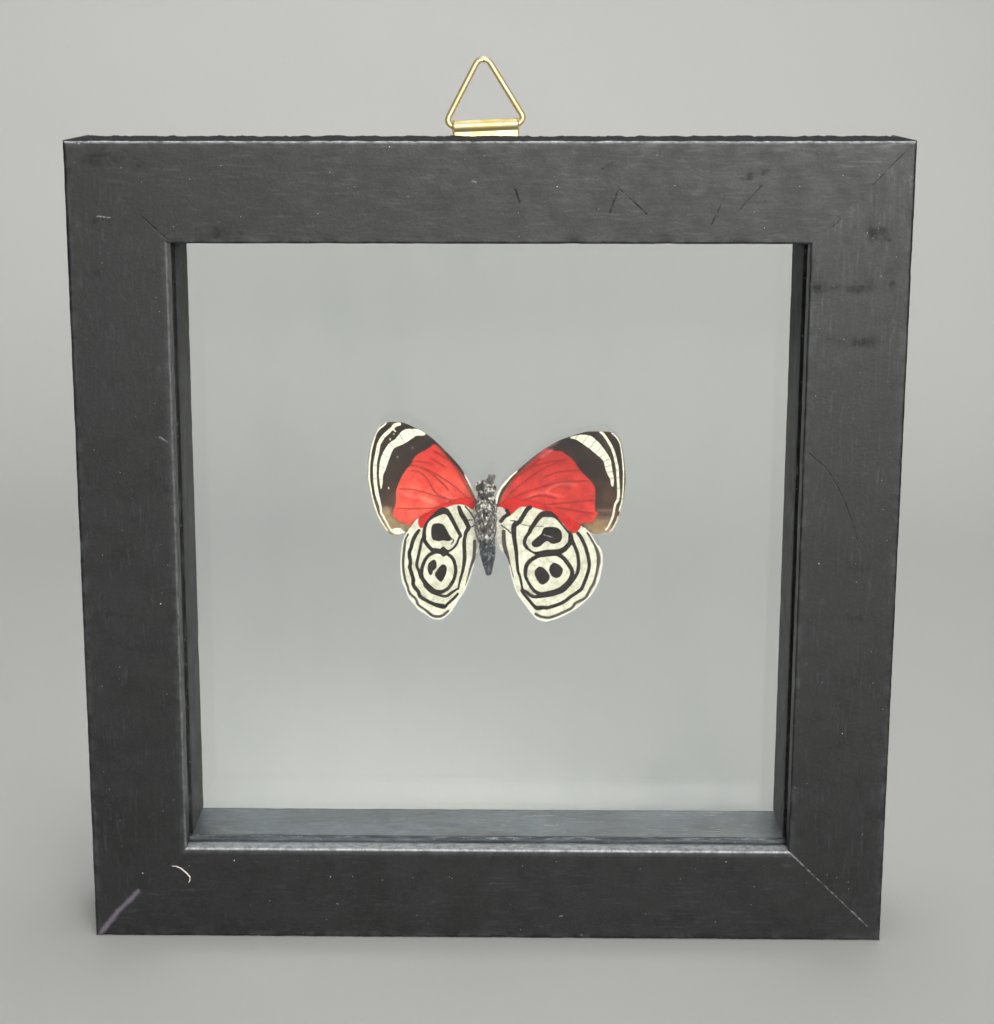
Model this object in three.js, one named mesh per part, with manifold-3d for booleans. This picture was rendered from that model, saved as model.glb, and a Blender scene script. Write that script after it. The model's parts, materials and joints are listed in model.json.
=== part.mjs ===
// A butterfly set between two panes of glass in a small black shadow-box frame that hangs
// by a brass triangle ring. Millimetres, +Z up, the front faces -Y, and the origin is on the
// surface that the frame stands on, under the middle of its bounding box.
import * as THREE from 'three';
import { mergeVertices } from 'three/addons/utils/BufferGeometryUtils.js';
import Module from 'manifold-3d';

const wasm = await Module();
wasm.setup();

// ---------------------------------------------------------------- driving dimensions
const FRAME_SIDE = 127; // height and width of the square frame
const FRAME_DEPTH = 21.4; // front face to back face of a rail
const RAIL_FACE = 15.3; // width of a rail seen from the front
const LIP_DEPTH = 3.2; // front lip that the front pane bears on
const REBATE = 4.5; // how far the rebate is cut back into the rail
const ARRIS = 0.5; // small bevel along a rail's edges
const FIT_GAP = 0.3; // room between pieces that touch

const PANE_THICKNESS = 1.8;
const SPACER_PROUD = 0.3; // how far the spacer strips stand inside the lip
const BACK_PANE_DEPTH = 18.9; // front face to the near side of the back pane

const WIRE_RADIUS = 0.5; // wire of the hanging ring
const EYE_CLEARANCE = 0.1; // room between the wire and the strap that folds round it
const STRAP_SHEET = 0.35; // brass sheet of the folded strap
const STRAP_WIDTH = 10.5;
const STRAP_LENGTH = 11.5; // from the ring's bar down to the end of the strap
const RING_HALF_WIDTH = 5.9; // middle of the ring to the middle of its wire
const RING_HEIGHT = 10.15; // bar to the top of the ring, between wire middles
const RING_CORNER = 1.0; // bend of the wire at the two lower corners
const RING_JOIN = 0.12; // slit where the wire's two ends meet at the top
const BAR_HEIGHT = 64.95; // middle of the frame up to the ring's bar
const HANGER_OFFSET = -0.6; // the hanger sits a little left of the middle
const HANGER_TILT = 2.3; // degrees, the strap has turned a little on its one screw
const SCREW_DROP = 7.0; // bar down to the screw
const SCREW_HEAD_RADIUS = 2.2;
const SCREW_HEAD_HEIGHT = 1.1;
const SCREW_RADIUS = 0.8;
const SCREW_LENGTH = 8;

const WING_THICKNESS = 0.25;
const FOREWING_DEPTH = 17.1; // front face of the frame to the forewings at their roots
const HINDWING_DEPTH = 16.3; // the hindwings lie in front of the forewings
const BODY_DEPTH = 14.9; // front face of the frame to the middle of the body
const THORAX_RADII = [1.7, 1.85, 3.4]; // half width, half depth and half length
const THORAX_MIDDLE = [-0.45, BODY_DEPTH, 4.3];

const HALF = FRAME_SIDE / 2;
const LIP_EDGE = HALF - RAIL_FACE; // middle of the frame to the edge of the lip
const REBATE_EDGE = LIP_EDGE + REBATE; // middle of the frame to the wall of the rebate
const PANE_HALF = REBATE_EDGE - FIT_GAP;
const EYE_RADIUS = WIRE_RADIUS + EYE_CLEARANCE + STRAP_SHEET;
const HANGER_DEPTH = FRAME_DEPTH + FIT_GAP + STRAP_SHEET; // front face to the strap's middle
const OVERALL_DEPTH = HANGER_DEPTH + STRAP_SHEET + FIT_GAP + SCREW_HEAD_HEIGHT;

// ---------------------------------------------------------------- materials
const finish = (color, roughness, metalness = 0) =>
  new THREE.MeshStandardMaterial({ color, roughness, metalness });
const blackPaint = finish('#2b2d2f', 0.45);
const spacerPaint = finish('#33363a', 0.5);
const glass = new THREE.MeshStandardMaterial({
  color: '#e6efec', roughness: 0.05, metalness: 0, transparent: true, opacity: 0.25,
});
const brass = finish('#c9a64b', 0.3, 1);
const glue = finish('#ddd8c4', 0.2);
const bodyFur = finish('#4d4b4a', 0.9);
const forewingScales = finish('#c63a2c', 0.7);
const hindwingScales = finish('#e6e2d2', 0.75);

// ---------------------------------------------------------------- shared helpers
const assembly = new THREE.Group();
assembly.position.set(0, -OVERALL_DEPTH / 2, HALF);

function addPiece(name, geometry, material, parent = assembly) {
  const mesh = new THREE.Mesh(geometry, material);
  mesh.name = name;
  parent.add(mesh);
  return mesh;
}

function solidFrom(geometry) {
  const bare = geometry.index ? geometry.clone() : geometry;
  bare.deleteAttribute('normal');
  bare.deleteAttribute('uv');
  const merged = mergeVertices(bare, 1e-4);
  return new wasm.Manifold(new wasm.Mesh({
    numProp: 3,
    vertProperties: Float32Array.from(merged.attributes.position.array),
    triVerts: Uint32Array.from(merged.index.array),
  }));
}

function geometryFrom(solid) {
  const mesh = solid.getMesh();
  const geometry = new THREE.BufferGeometry();
  geometry.setAttribute('position', new THREE.BufferAttribute(mesh.vertProperties, 3));
  geometry.setIndex(new THREE.BufferAttribute(mesh.triVerts, 1));
  geometry.computeVertexNormals();
  return geometry;
}

// Turns a shape drawn in (y, z) and extruded into one that runs along X.
const ALONG_X = new THREE.Matrix4().makeBasis(
  new THREE.Vector3(0, 1, 0), new THREE.Vector3(0, 0, 1), new THREE.Vector3(1, 0, 0),
);

// ---------------------------------------------------------------- rails
// A rail's section: u runs from the outer edge towards the middle, y from front to back.
function railSection() {
  const lipBevel = ARRIS * 0.7;
  return new THREE.Shape([
    new THREE.Vector2(ARRIS, 0),
    new THREE.Vector2(RAIL_FACE - lipBevel, 0),
    new THREE.Vector2(RAIL_FACE, lipBevel),
    new THREE.Vector2(RAIL_FACE, LIP_DEPTH),
    new THREE.Vector2(RAIL_FACE - REBATE, LIP_DEPTH),
    new THREE.Vector2(RAIL_FACE - REBATE, FRAME_DEPTH),
    new THREE.Vector2(ARRIS, FRAME_DEPTH),
    new THREE.Vector2(0, FRAME_DEPTH - ARRIS),
    new THREE.Vector2(0, ARRIS),
  ]);
}

// Extrudes the section by 1 and draws each end out to its mitre, leaving the joint's gap.
function mitredRail() {
  const geometry = new THREE.ExtrudeGeometry(railSection(), { depth: 1, bevelEnabled: false });
  const position = geometry.attributes.position;
  const jointGap = FIT_GAP / Math.SQRT2;
  for (let i = 0; i < position.count; i += 1) {
    const u = position.getX(i);
    const depth = position.getY(i);
    const end = position.getZ(i) > 0.5 ? 1 : -1;
    position.setXYZ(i, end * (HALF - u - jointGap), depth, HALF - u);
  }
  geometry.computeVertexNormals();
  return geometry;
}

// The screw hangs below the bar, square to the tilted strap.
function screwBore(radius) {
  const tilt = THREE.MathUtils.degToRad(HANGER_TILT);
  const x = HANGER_OFFSET + SCREW_DROP * Math.sin(tilt);
  const z = BAR_HEIGHT - SCREW_DROP * Math.cos(tilt);
  const bore = new THREE.CylinderGeometry(radius, radius, 2 * SCREW_LENGTH + 4, 12);
  return bore.translate(x, FRAME_DEPTH, z);
}

function addRails() {
  const boreRadius = SCREW_RADIUS + FIT_GAP;
  const top = solidFrom(mitredRail()).subtract(solidFrom(screwBore(boreRadius)));
  addPiece('rail_top', geometryFrom(top), blackPaint);
  const turns = { rail_right: 90, rail_bottom: 180, rail_left: 270 };
  for (const [name, degrees] of Object.entries(turns)) {
    const rail = addPiece(name, mitredRail(), blackPaint);
    rail.rotation.y = THREE.MathUtils.degToRad(degrees);
  }
}

// ---------------------------------------------------------------- panes and spacer
function addPanes() {
  const side = 2 * PANE_HALF;
  const frontDepth = LIP_DEPTH + FIT_GAP + PANE_THICKNESS / 2;
  const front = addPiece('front_glass', new THREE.BoxGeometry(side, PANE_THICKNESS, side), glass);
  front.position.y = frontDepth;
  const back = addPiece('back_glass', new THREE.BoxGeometry(side, PANE_THICKNESS, side), glass);
  back.position.y = BACK_PANE_DEPTH + PANE_THICKNESS / 2;
}

function addSpacer() {
  const near = LIP_DEPTH + PANE_THICKNESS + 2 * FIT_GAP;
  const far = BACK_PANE_DEPTH - FIT_GAP;
  const depth = far - near;
  const inner = LIP_EDGE - SPACER_PROUD;
  const width = PANE_HALF - inner;
  const middle = inner + width / 2;
  for (const [name, side] of [['spacer_top', 1], ['spacer_bottom', -1]]) {
    const strip = addPiece(name, new THREE.BoxGeometry(2 * PANE_HALF, depth, width), spacerPaint);
    strip.position.set(0, near + depth / 2, side * middle);
  }
  for (const [name, side] of [['spacer_left', -1], ['spacer_right', 1]]) {
    const length = 2 * (inner - FIT_GAP);
    const strip = addPiece(name, new THREE.BoxGeometry(width, depth, length), spacerPaint);
    strip.position.set(side * middle, near + depth / 2, 0);
  }
}

// ---------------------------------------------------------------- hanger
// Strap: two leaves pressed together below an eye that folds round the ring's bar.
function strapGeometry() {
  const meet = Math.asin(STRAP_SHEET / EYE_RADIUS);
  const profile = new THREE.Shape();
  profile.moveTo(-STRAP_SHEET, -STRAP_LENGTH);
  profile.lineTo(STRAP_SHEET, -STRAP_LENGTH);
  profile.absarc(0, 0, EYE_RADIUS, meet - Math.PI / 2, 1.5 * Math.PI - meet, false);
  const hole = new THREE.Path();
  hole.absarc(0, 0, WIRE_RADIUS + EYE_CLEARANCE, 0, 2 * Math.PI, true);
  profile.holes.push(hole);
  const strap = new THREE.ExtrudeGeometry(profile, {
    depth: STRAP_WIDTH, bevelEnabled: false, curveSegments: 10,
  });
  strap.translate(0, 0, -STRAP_WIDTH / 2).applyMatrix4(ALONG_X);
  const bore = new THREE.CylinderGeometry(SCREW_RADIUS + FIT_GAP, SCREW_RADIUS + FIT_GAP, 4, 12);
  bore.translate(0, 0, -SCREW_DROP);
  return geometryFrom(solidFrom(strap).subtract(solidFrom(bore)));
}

// Ring: one wire bent to an equilateral triangle, its two ends meeting at the top.
class RingPath extends THREE.Curve {
  constructor() {
    super();
    const legTilt = Math.PI / 6;
    const halfSide = RING_HALF_WIDTH + (1 / Math.tan(legTilt) - 1) * RING_CORNER;
    const peak = halfSide / Math.tan(legTilt);
    const topBend = peak - RING_HEIGHT;
    const cornerX = halfSide - RING_CORNER / Math.tan(legTilt);
    const cut = RING_JOIN / 2 / topBend;
    const path = new THREE.Path();
    path.absarc(0, peak - 2 * topBend, topBend, Math.PI / 2 - cut, legTilt, true);
    path.absarc(cornerX, RING_CORNER, RING_CORNER, legTilt, -Math.PI / 2, true);
    path.absarc(-cornerX, RING_CORNER, RING_CORNER, -Math.PI / 2, -Math.PI - legTilt, true);
    path.absarc(0, peak - 2 * topBend, topBend, Math.PI - legTilt, Math.PI / 2 + cut, true);
    this.path = path;
  }

  getPoint(t, target = new THREE.Vector3()) {
    const point = this.path.getPointAt(Math.min(Math.max(t, 0), 1));
    return target.set(point.x, 0, point.y);
  }
}

function ringGeometry() {
  const section = new THREE.Shape();
  section.absarc(0, 0, WIRE_RADIUS, 0, 2 * Math.PI, false);
  return new THREE.ExtrudeGeometry(section, {
    extrudePath: new RingPath(), steps: 56, curveSegments: 4, bevelEnabled: false,
  });
}

// Screw: a domed head behind the strap and a pointed shank that runs into the rail.
function screwGeometry() {
  const profile = [
    [0, SCREW_HEAD_HEIGHT],
    [SCREW_HEAD_RADIUS * 0.55, SCREW_HEAD_HEIGHT * 0.86],
    [SCREW_HEAD_RADIUS * 0.88, SCREW_HEAD_HEIGHT * 0.5],
    [SCREW_HEAD_RADIUS, 0],
    [SCREW_RADIUS, 0],
    [SCREW_RADIUS, -SCREW_LENGTH * 0.7],
    [0, -SCREW_LENGTH],
  ].reverse();
  const points = profile.map(([radius, height]) => new THREE.Vector2(radius, height));
  return new THREE.LatheGeometry(points, 16);
}

function addHanger() {
  const hanger = new THREE.Group();
  hanger.position.set(HANGER_OFFSET, HANGER_DEPTH, BAR_HEIGHT);
  hanger.rotation.y = -THREE.MathUtils.degToRad(HANGER_TILT);
  assembly.add(hanger);
  addPiece('hanger_strap', strapGeometry(), brass, hanger);
  addPiece('hanger_ring', ringGeometry(), brass, hanger);
  const screw = addPiece('hanger_screw', screwGeometry(), brass, hanger);
  screw.position.set(0, STRAP_SHEET + FIT_GAP, -SCREW_DROP);
}

// ---------------------------------------------------------------- wings
// Outlines as [x, z], millimetres right of and above the middle of the frame, in order from
// the root along the leading edge to the tip, down the outer margin and back to the root.
const FOREWING_LEFT = [
  [-1.7, 5.0], [-2.3, 6.9], [-4.3, 10.6], [-6.9, 13.6], [-9.6, 16.1], [-12.3, 17.55],
  [-13.6, 18.1], [-14.7, 18.25], [-16.2, 18.2], [-17.3, 17.6], [-18.3, 15.85], [-19.0, 13.4],
  [-19.4, 10.1], [-19.3, 8.4], [-18.85, 6.1], [-18.25, 3.9], [-17.4, 1.9], [-16.75, 0.9],
  [-16.1, -0.1], [-15.6, -0.25], [-14.9, -0.3], [-14.2, -0.2], [-13.3, 0.15], [-10.9, 1.0],
  [-7.4, 2.2], [-4.4, 3.1], [-2.0, 3.8],
];
const FOREWING_RIGHT = [
  [1.2, 4.8], [1.3, 6.3], [1.8, 7.4], [3.1, 9.1], [5.1, 10.85], [7.2, 12.65], [9.2, 14.1],
  [11.2, 15.25], [13.1, 16.0], [15.0, 16.6], [16.2, 16.85], [19.0, 16.85], [19.8, 16.7],
  [20.5, 16.2], [21.1, 15.5], [21.5, 14.4], [21.9, 12.0], [22.15, 9.0], [21.9, 5.9],
  [21.4, 3.8], [20.8, 1.7], [20.1, 0.6], [19.6, 0.2], [18.9, 0.2], [17.5, -0.15], [16.8, 0.1],
  [14.6, 0.8], [11.1, 1.8], [7.1, 2.7], [3.6, 3.4], [1.5, 3.7],
];
const HINDWING_LEFT = [
  [-2.2, 5.4], [-2.9, 6.15], [-3.9, 6.1], [-6.0, 5.5], [-8.0, 4.6], [-10.2, 3.35],
  [-11.2, 2.75], [-12.0, 2.05], [-13.2, 0.1], [-13.85, -1.5], [-14.15, -4.6], [-13.95, -7.6],
  [-13.4, -9.0], [-12.9, -10.4], [-11.95, -11.6], [-11.3, -12.5], [-10.35, -13.1],
  [-9.0, -14.0], [-8.1, -14.15], [-7.3, -13.85], [-6.1, -12.8], [-4.9, -10.8], [-4.1, -9.75],
  [-3.2, -7.5], [-2.4, -5.0], [-1.65, -2.9], [-1.2, -0.9], [-1.3, 0.2], [-2.2, 2.0],
];
const HINDWING_RIGHT = [
  [1.5, 4.6], [2.2, 5.1], [3.1, 5.9], [4.4, 6.05], [5.3, 5.7], [7.0, 5.6], [9.5, 4.7],
  [11.9, 3.6], [14.6, 1.85], [16.3, 0.4], [17.5, -1.55], [18.1, -2.2], [18.5, -3.7],
  [18.35, -6.0], [17.6, -8.5], [16.5, -10.3], [15.1, -11.6], [14.2, -12.4], [12.8, -13.2],
  [11.6, -13.85], [9.6, -14.45], [8.7, -14.3], [7.8, -13.85], [6.3, -11.9], [4.8, -9.75],
  [4.0, -7.3], [3.35, -4.6], [2.65, -3.1], [2.1, -2.7], [1.5, -1.0], [1.4, 0.5], [1.4, 3.0],
];

// How far a wing stands forward of its root. The left pair was set at more of an angle than
// the right pair, and both lean up a little as they come forward.
const LEFT_RISE = { rootX: -1.5, slope: 0.27, curl: -0.004 };
const RIGHT_RISE = { rootX: 1.0, slope: 0.02, curl: 0.002 };
const LEAN_UP = 0.2;
const LEAN_IN = 0.03;

function placeOnWing([x, z], depth, rise) {
  const reach = Math.max(0, Math.abs(x - rise.rootX) * Math.sign(x / rise.rootX));
  const forward = rise.slope * reach + rise.curl * reach * reach;
  const inward = -Math.sign(rise.rootX) * LEAN_IN * forward;
  return [x + inward, depth - forward, z + LEAN_UP * forward];
}

// A thin closed sheet: rings of the outline shrink towards an inner point on both faces.
function wingGeometry(outline, [middleX, middleZ], depth, rise) {
  const ringScales = [1, 0.72, 0.4];
  const count = outline.length;
  const vertices = [];
  const triangles = [];
  for (const faceDepth of [depth, depth + WING_THICKNESS]) {
    for (const scale of ringScales) {
      for (const [x, z] of outline) {
        const point = [middleX + scale * (x - middleX), middleZ + scale * (z - middleZ)];
        vertices.push(placeOnWing(point, faceDepth, rise));
      }
    }
    vertices.push(placeOnWing([middleX, middleZ], faceDepth, rise));
  }
  const faceSize = ringScales.length * count + 1;
  const addTriangle = (a, b, c, flip) => triangles.push(...(flip ? [a, c, b] : [a, b, c]));
  for (const face of [0, 1]) {
    const start = face * faceSize;
    for (let i = 0; i < count; i += 1) {
      const j = (i + 1) % count;
      for (let ring = 0; ring + 1 < ringScales.length; ring += 1) {
        const outer = start + ring * count;
        const inner = outer + count;
        addTriangle(outer + i, outer + j, inner + j, face === 1);
        addTriangle(outer + i, inner + j, inner + i, face === 1);
      }
      const last = start + (ringScales.length - 1) * count;
      addTriangle(last + i, last + j, start + faceSize - 1, face === 1);
    }
  }
  for (let i = 0; i < count; i += 1) {
    const j = (i + 1) % count;
    addTriangle(i, faceSize + i, faceSize + j, false);
    addTriangle(i, faceSize + j, j, false);
  }
  const turnsLeft = THREE.ShapeUtils.area(outline.map(([x, z]) => new THREE.Vector2(x, z))) < 0;
  const geometry = new THREE.BufferGeometry();
  geometry.setAttribute('position', new THREE.Float32BufferAttribute(vertices.flat(), 3));
  geometry.setIndex(turnsLeft ? flipped(triangles) : triangles);
  geometry.computeVertexNormals();
  return geometry;
}

function flipped(triangles) {
  const out = [];
  for (let i = 0; i < triangles.length; i += 3) {
    out.push(triangles[i], triangles[i + 2], triangles[i + 1]);
  }
  return out;
}

function addWings() {
  addPiece('forewing_left', wingGeometry(
    FOREWING_LEFT, [-11.5, 8.5], FOREWING_DEPTH, LEFT_RISE,
  ), forewingScales);
  addPiece('forewing_right', wingGeometry(
    FOREWING_RIGHT, [12.5, 8.5], FOREWING_DEPTH, RIGHT_RISE,
  ), forewingScales);
  addPiece('hindwing_left', wingGeometry(
    HINDWING_LEFT, [-7.5, -4.5], HINDWING_DEPTH, LEFT_RISE,
  ), hindwingScales);
  addPiece('hindwing_right', wingGeometry(
    HINDWING_RIGHT, [10, -5], HINDWING_DEPTH, RIGHT_RISE,
  ), hindwingScales);
}

// ---------------------------------------------------------------- body
function ball([radiusX, radiusY, radiusZ], [x, y, z], segments = 16) {
  const sphere = new THREE.SphereGeometry(1, segments, Math.round(segments * 0.7));
  return sphere.scale(radiusX, radiusY, radiusZ).translate(x, y, z);
}

function limb(points, radius) {
  const section = new THREE.Shape();
  section.absarc(0, 0, radius, 0, 2 * Math.PI, false);
  const path = new THREE.CatmullRomCurve3(points.map((point) => new THREE.Vector3(...point)));
  return new THREE.ExtrudeGeometry(section, {
    extrudePath: path, steps: 7, curveSegments: 3, bevelEnabled: false,
  });
}

// Abdomen: ringed segments that taper to a blunt tail, leaning a little to the right.
function abdomenGeometry() {
  const radii = [0.8, 1.05, 1.2, 1.28, 1.24, 1.08, 0.82, 0.5];
  const length = 8.0;
  const points = [new THREE.Vector2(0, 0)];
  radii.forEach((radius, i) => {
    points.push(new THREE.Vector2(radius, -length * (i + 0.15) / radii.length));
    points.push(new THREE.Vector2(radius * 0.94, -length * (i + 0.9) / radii.length));
  });
  points.push(new THREE.Vector2(0, -length));
  const abdomen = new THREE.LatheGeometry(points.reverse(), 14);
  abdomen.rotateX(Math.PI / 2).rotateY(THREE.MathUtils.degToRad(-3));
  return abdomen.translate(-0.2, BODY_DEPTH, 1.6);
}

function legPaths() {
  const legs = [];
  for (const side of [-1, 1]) {
    const x = (offset) => THORAX_MIDDLE[0] + side * offset;
    legs.push([[x(0.5), 13.4, 6.0], [x(1.5), 12.9, 4.9], [x(0.5), 12.9, 3.2], [x(0.3), 13.1, 1.9]]);
    legs.push([[x(0.6), 13.3, 4.6], [x(1.75), 13.4, 3.4], [x(1.2), 13.0, 1.6], [x(0.6), 13.4, 0.2]]);
    legs.push([[x(0.5), 13.3, 3.3], [x(1.6), 13.9, 2.2], [x(1.5), 13.7, 0.6], [x(0.9), 13.9, -0.9]]);
  }
  return legs;
}

function addBody() {
  const palpRoots = [[-0.45, 0.35], [0.5, 1.25]];
  const pieces = [
    ball(THORAX_RADII, THORAX_MIDDLE, 20),
    ball([1.25, 1.15, 1.25], [-0.3, 14.6, 8.1]),
    ball([0.6, 0.75, 0.8], [-1.4, 14.5, 8.2], 12),
    ball([0.6, 0.75, 0.8], [0.8, 14.5, 8.2], 12),
    abdomenGeometry(),
    ...palpRoots.map(([root, tip]) => limb(
      [[root, 14.2, 8.4], [(root + tip) / 2, 13.7, 9.4], [tip, 13.9, 10.3]], 0.3,
    )),
    ...legPaths().map((points) => limb(points, 0.2)),
  ];
  const body = pieces.map(solidFrom).reduce((whole, piece) => whole.add(piece));
  addPiece('butterfly_body', geometryFrom(body), bodyFur);
}

// A dab of clear glue holds the back of the thorax to the back pane.
function addGlueDab() {
  const thoraxBack = BODY_DEPTH + THORAX_RADII[1];
  const thickness = BACK_PANE_DEPTH - thoraxBack - 2 * FIT_GAP;
  const dab = addPiece('glue_dab', new THREE.CylinderGeometry(1.7, 1.0, thickness, 16), glue);
  dab.position.set(THORAX_MIDDLE[0], BACK_PANE_DEPTH - FIT_GAP - thickness / 2, THORAX_MIDDLE[2]);
}

addRails();
addPanes();
addSpacer();
addHanger();
addWings();
addBody();
addGlueDab();

export default assembly;
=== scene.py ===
# %% [markdown]
# # A butterfly between two panes
# A small black shadow-box frame holds a butterfly between two sheets of clear glass, and hangs
# by a brass triangle ring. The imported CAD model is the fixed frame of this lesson. It could be
# drawn again by hand, but reading its pieces and sizes keeps every new surface in its place.

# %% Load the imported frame
import json
import math
import bpy
import bmesh
import numpy as np
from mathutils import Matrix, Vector, geometry, noise


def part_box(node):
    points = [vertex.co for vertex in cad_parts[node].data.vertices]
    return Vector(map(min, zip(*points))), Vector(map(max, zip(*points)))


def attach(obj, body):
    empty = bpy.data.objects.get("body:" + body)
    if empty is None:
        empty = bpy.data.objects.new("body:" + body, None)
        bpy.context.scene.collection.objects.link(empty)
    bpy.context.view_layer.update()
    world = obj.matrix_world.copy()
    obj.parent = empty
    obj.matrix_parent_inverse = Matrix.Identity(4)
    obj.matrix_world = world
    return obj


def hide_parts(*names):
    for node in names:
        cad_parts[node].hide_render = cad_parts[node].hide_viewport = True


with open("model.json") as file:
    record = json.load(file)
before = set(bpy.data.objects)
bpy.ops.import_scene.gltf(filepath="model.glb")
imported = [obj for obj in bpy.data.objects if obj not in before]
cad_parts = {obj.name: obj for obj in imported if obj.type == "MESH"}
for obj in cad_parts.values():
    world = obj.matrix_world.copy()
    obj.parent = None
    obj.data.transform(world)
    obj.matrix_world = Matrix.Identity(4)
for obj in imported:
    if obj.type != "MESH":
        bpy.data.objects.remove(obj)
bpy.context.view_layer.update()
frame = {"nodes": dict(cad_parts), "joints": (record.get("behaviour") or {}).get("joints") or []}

MM = 0.001
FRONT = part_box("rail_top")[0].y
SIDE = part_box("rail_top")[1].z
HALF = SIDE / 2 / MM
DEPTH = (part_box("rail_top")[1].y - FRONT) / MM
LIP_EDGE = (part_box("rail_top")[0].z - SIDE / 2) / MM
print("frame", round(SIDE / MM, 1), "mm square,", round(DEPTH, 1), "mm deep")

# %% [markdown]
# Everything is written in millimetres right of the middle of the frame, behind its front face
# and above its middle, which is how a maker would measure it with a rule. One helper turns
# such numbers into metres, and another makes a mesh piece that rides on its CAD body.

# %% Places and pieces
def at(points):
    """Turns millimetres (x, depth, z) from the middle of the front face into metres."""
    points = np.asarray(points, float).reshape(-1, 3)
    return points * MM + np.array([0, FRONT, SIDE / 2])


def from_middle(place):
    """Turns one place in metres into millimetres from the middle of the front face."""
    return (np.array(place) - np.array([0, FRONT, SIDE / 2])) / MM


def add_piece(name, points, faces, finish, slot, nodes=(), body="frame", face_finish=None):
    """A mesh piece from points in millimetres. Its finish is one material or a list of them."""
    mesh = bpy.data.meshes.new(name)
    mesh.from_pydata([tuple(p) for p in at(points)], [], [tuple(map(int, f)) for f in faces])
    for one in finish if isinstance(finish, (list, tuple)) else [finish]:
        mesh.materials.append(one)
    mesh.validate()
    mesh.update()
    mesh.polygons.foreach_set("use_smooth", [True] * len(mesh.polygons))
    if face_finish is not None:
        mesh.polygons.foreach_set("material_index", np.asarray(face_finish, int))
    piece = bpy.data.objects.new(name, mesh)
    bpy.context.scene.collection.objects.link(piece)
    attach(piece, body)
    if nodes:
        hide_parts(*nodes)
    print(name, len(mesh.vertices), "points", len(mesh.polygons), "faces")
    return piece


def mark_points(piece, name, values):
    """Keeps one number for every point of a mesh, which its finish can read."""
    layer = piece.data.attributes.new(name, "FLOAT", "POINT")
    layer.data.foreach_set("value", np.asarray(values, np.float32))

# %% [markdown]
# Every finish is a small network of nodes round one Principled shader. The nodes could be laid
# out one by one in the editor. A short class with a method for each kind of node keeps the
# recipes below as brief as a paint maker's, with all sizes in millimetres.

# %% A recipe book for finishes
def tone(code):
    """A colour from its six-digit code, in the linear values that Blender's shaders use."""
    parts = [int(code[i:i + 2], 16) / 255 for i in (1, 3, 5)]
    return tuple(c / 12.92 if c <= 0.04045 else ((c + 0.055) / 1.055) ** 2.4 for c in parts) + (1,)


class Finish:
    def __init__(self, name):
        self.material = bpy.data.materials.new(name)
        self.material.use_nodes = True
        self.tree = self.material.node_tree
        self.shader = self.tree.nodes["Principled BSDF"]
        metres = self.tree.nodes.new("ShaderNodeTexCoord").outputs["Object"]
        self.place = self.vector("SCALE", metres, scale=1 / MM)

    def join(self, value, socket):
        """Links a node's output to a socket, or sets the socket to a number or a colour."""
        if isinstance(value, bpy.types.NodeSocket):
            self.tree.links.new(value, socket)
        elif value is not None:
            socket.default_value = tone(value) if isinstance(value, str) else value

    def set(self, **values):
        """Sets or joins the Principled shader's own sockets, named with underscores."""
        for name, value in values.items():
            self.join(value, self.shader.inputs[name.replace("_", " ")])

    def vector(self, operation, a, b=None, scale=None):
        node = self.tree.nodes.new("ShaderNodeVectorMath")
        node.operation = operation
        self.join(a, node.inputs[0])
        self.join(b, node.inputs[1])
        self.join(scale, node.inputs[3])
        return node.outputs["Value" if operation == "DOT_PRODUCT" else "Vector"]

    def math(self, operation, a, b=None):
        node = self.tree.nodes.new("ShaderNodeMath")
        node.operation = operation
        self.join(a, node.inputs[0])
        self.join(b, node.inputs[1])
        return node.outputs[0]

    def axis(self, name):
        """One of X, Y and Z, in millimetres from the middle of the frame's foot."""
        node = self.tree.nodes.new("ShaderNodeSeparateXYZ")
        self.join(self.place, node.inputs[0])
        return node.outputs[name]

    def noise(self, size, detail=3, rough=0.5, stretch=(1, 1, 1)):
        """Soft cloudy noise whose lumps are about size millimetres wide."""
        node = self.tree.nodes.new("ShaderNodeTexNoise")
        self.join(self.vector("MULTIPLY", self.place, stretch), node.inputs["Vector"])
        node.inputs["Scale"].default_value = 1 / size
        node.inputs["Detail"].default_value = detail
        node.inputs["Roughness"].default_value = rough
        return node.outputs["Fac"]

    def cells(self, size, output="Distance"):
        """Scattered cells about size millimetres wide: the distance to their middles, or colours."""
        node = self.tree.nodes.new("ShaderNodeTexVoronoi")
        self.join(self.place, node.inputs["Vector"])
        node.inputs["Scale"].default_value = 1 / size
        return node.outputs[output]

    def ramp(self, value, low, high, bottom=0.0, top=1.0):
        """Rises softly from bottom to top while value goes from low to high."""
        node = self.tree.nodes.new("ShaderNodeMapRange")
        node.interpolation_type = "SMOOTHSTEP"
        for socket, number in zip(node.inputs, (value, low, high, bottom, top)):
            self.join(number, socket)
        return node.outputs[0]

    def mix(self, factor, a, b, blend="MIX"):
        node = self.tree.nodes.new("ShaderNodeMix")
        node.data_type, node.blend_type = "RGBA", blend
        for index, value in ((0, factor), (6, a), (7, b)):
            self.join(value, node.inputs[index])
        return node.outputs[2]

    def fade(self, value, low, high, first, second):
        """Goes from the first colour to the second while value goes from low to high."""
        return self.mix(self.ramp(value, low, high), first, second)

    def mark(self, name):
        """The number that a mesh keeps for each point under this name."""
        node = self.tree.nodes.new("ShaderNodeAttribute")
        node.attribute_name = name
        return node.outputs["Fac"]

    def bump(self, height, depth):
        """Relief from a height between 0 and 1, which stands depth millimetres high."""
        node = self.tree.nodes.new("ShaderNodeBump")
        node.inputs["Distance"].default_value = depth * MM
        self.join(height, node.inputs["Height"])
        self.join(node.outputs["Normal"], self.shader.inputs["Normal"])


print("finishes can be mixed")

# %% [markdown]
# The camera stands a little above the object and about a third of a metre in front of it. A
# long lens could be used from further off, but the strong perspective of a near camera is what
# shows the inner walls of the box. The slight shift puts the object a little off the centre.

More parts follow.
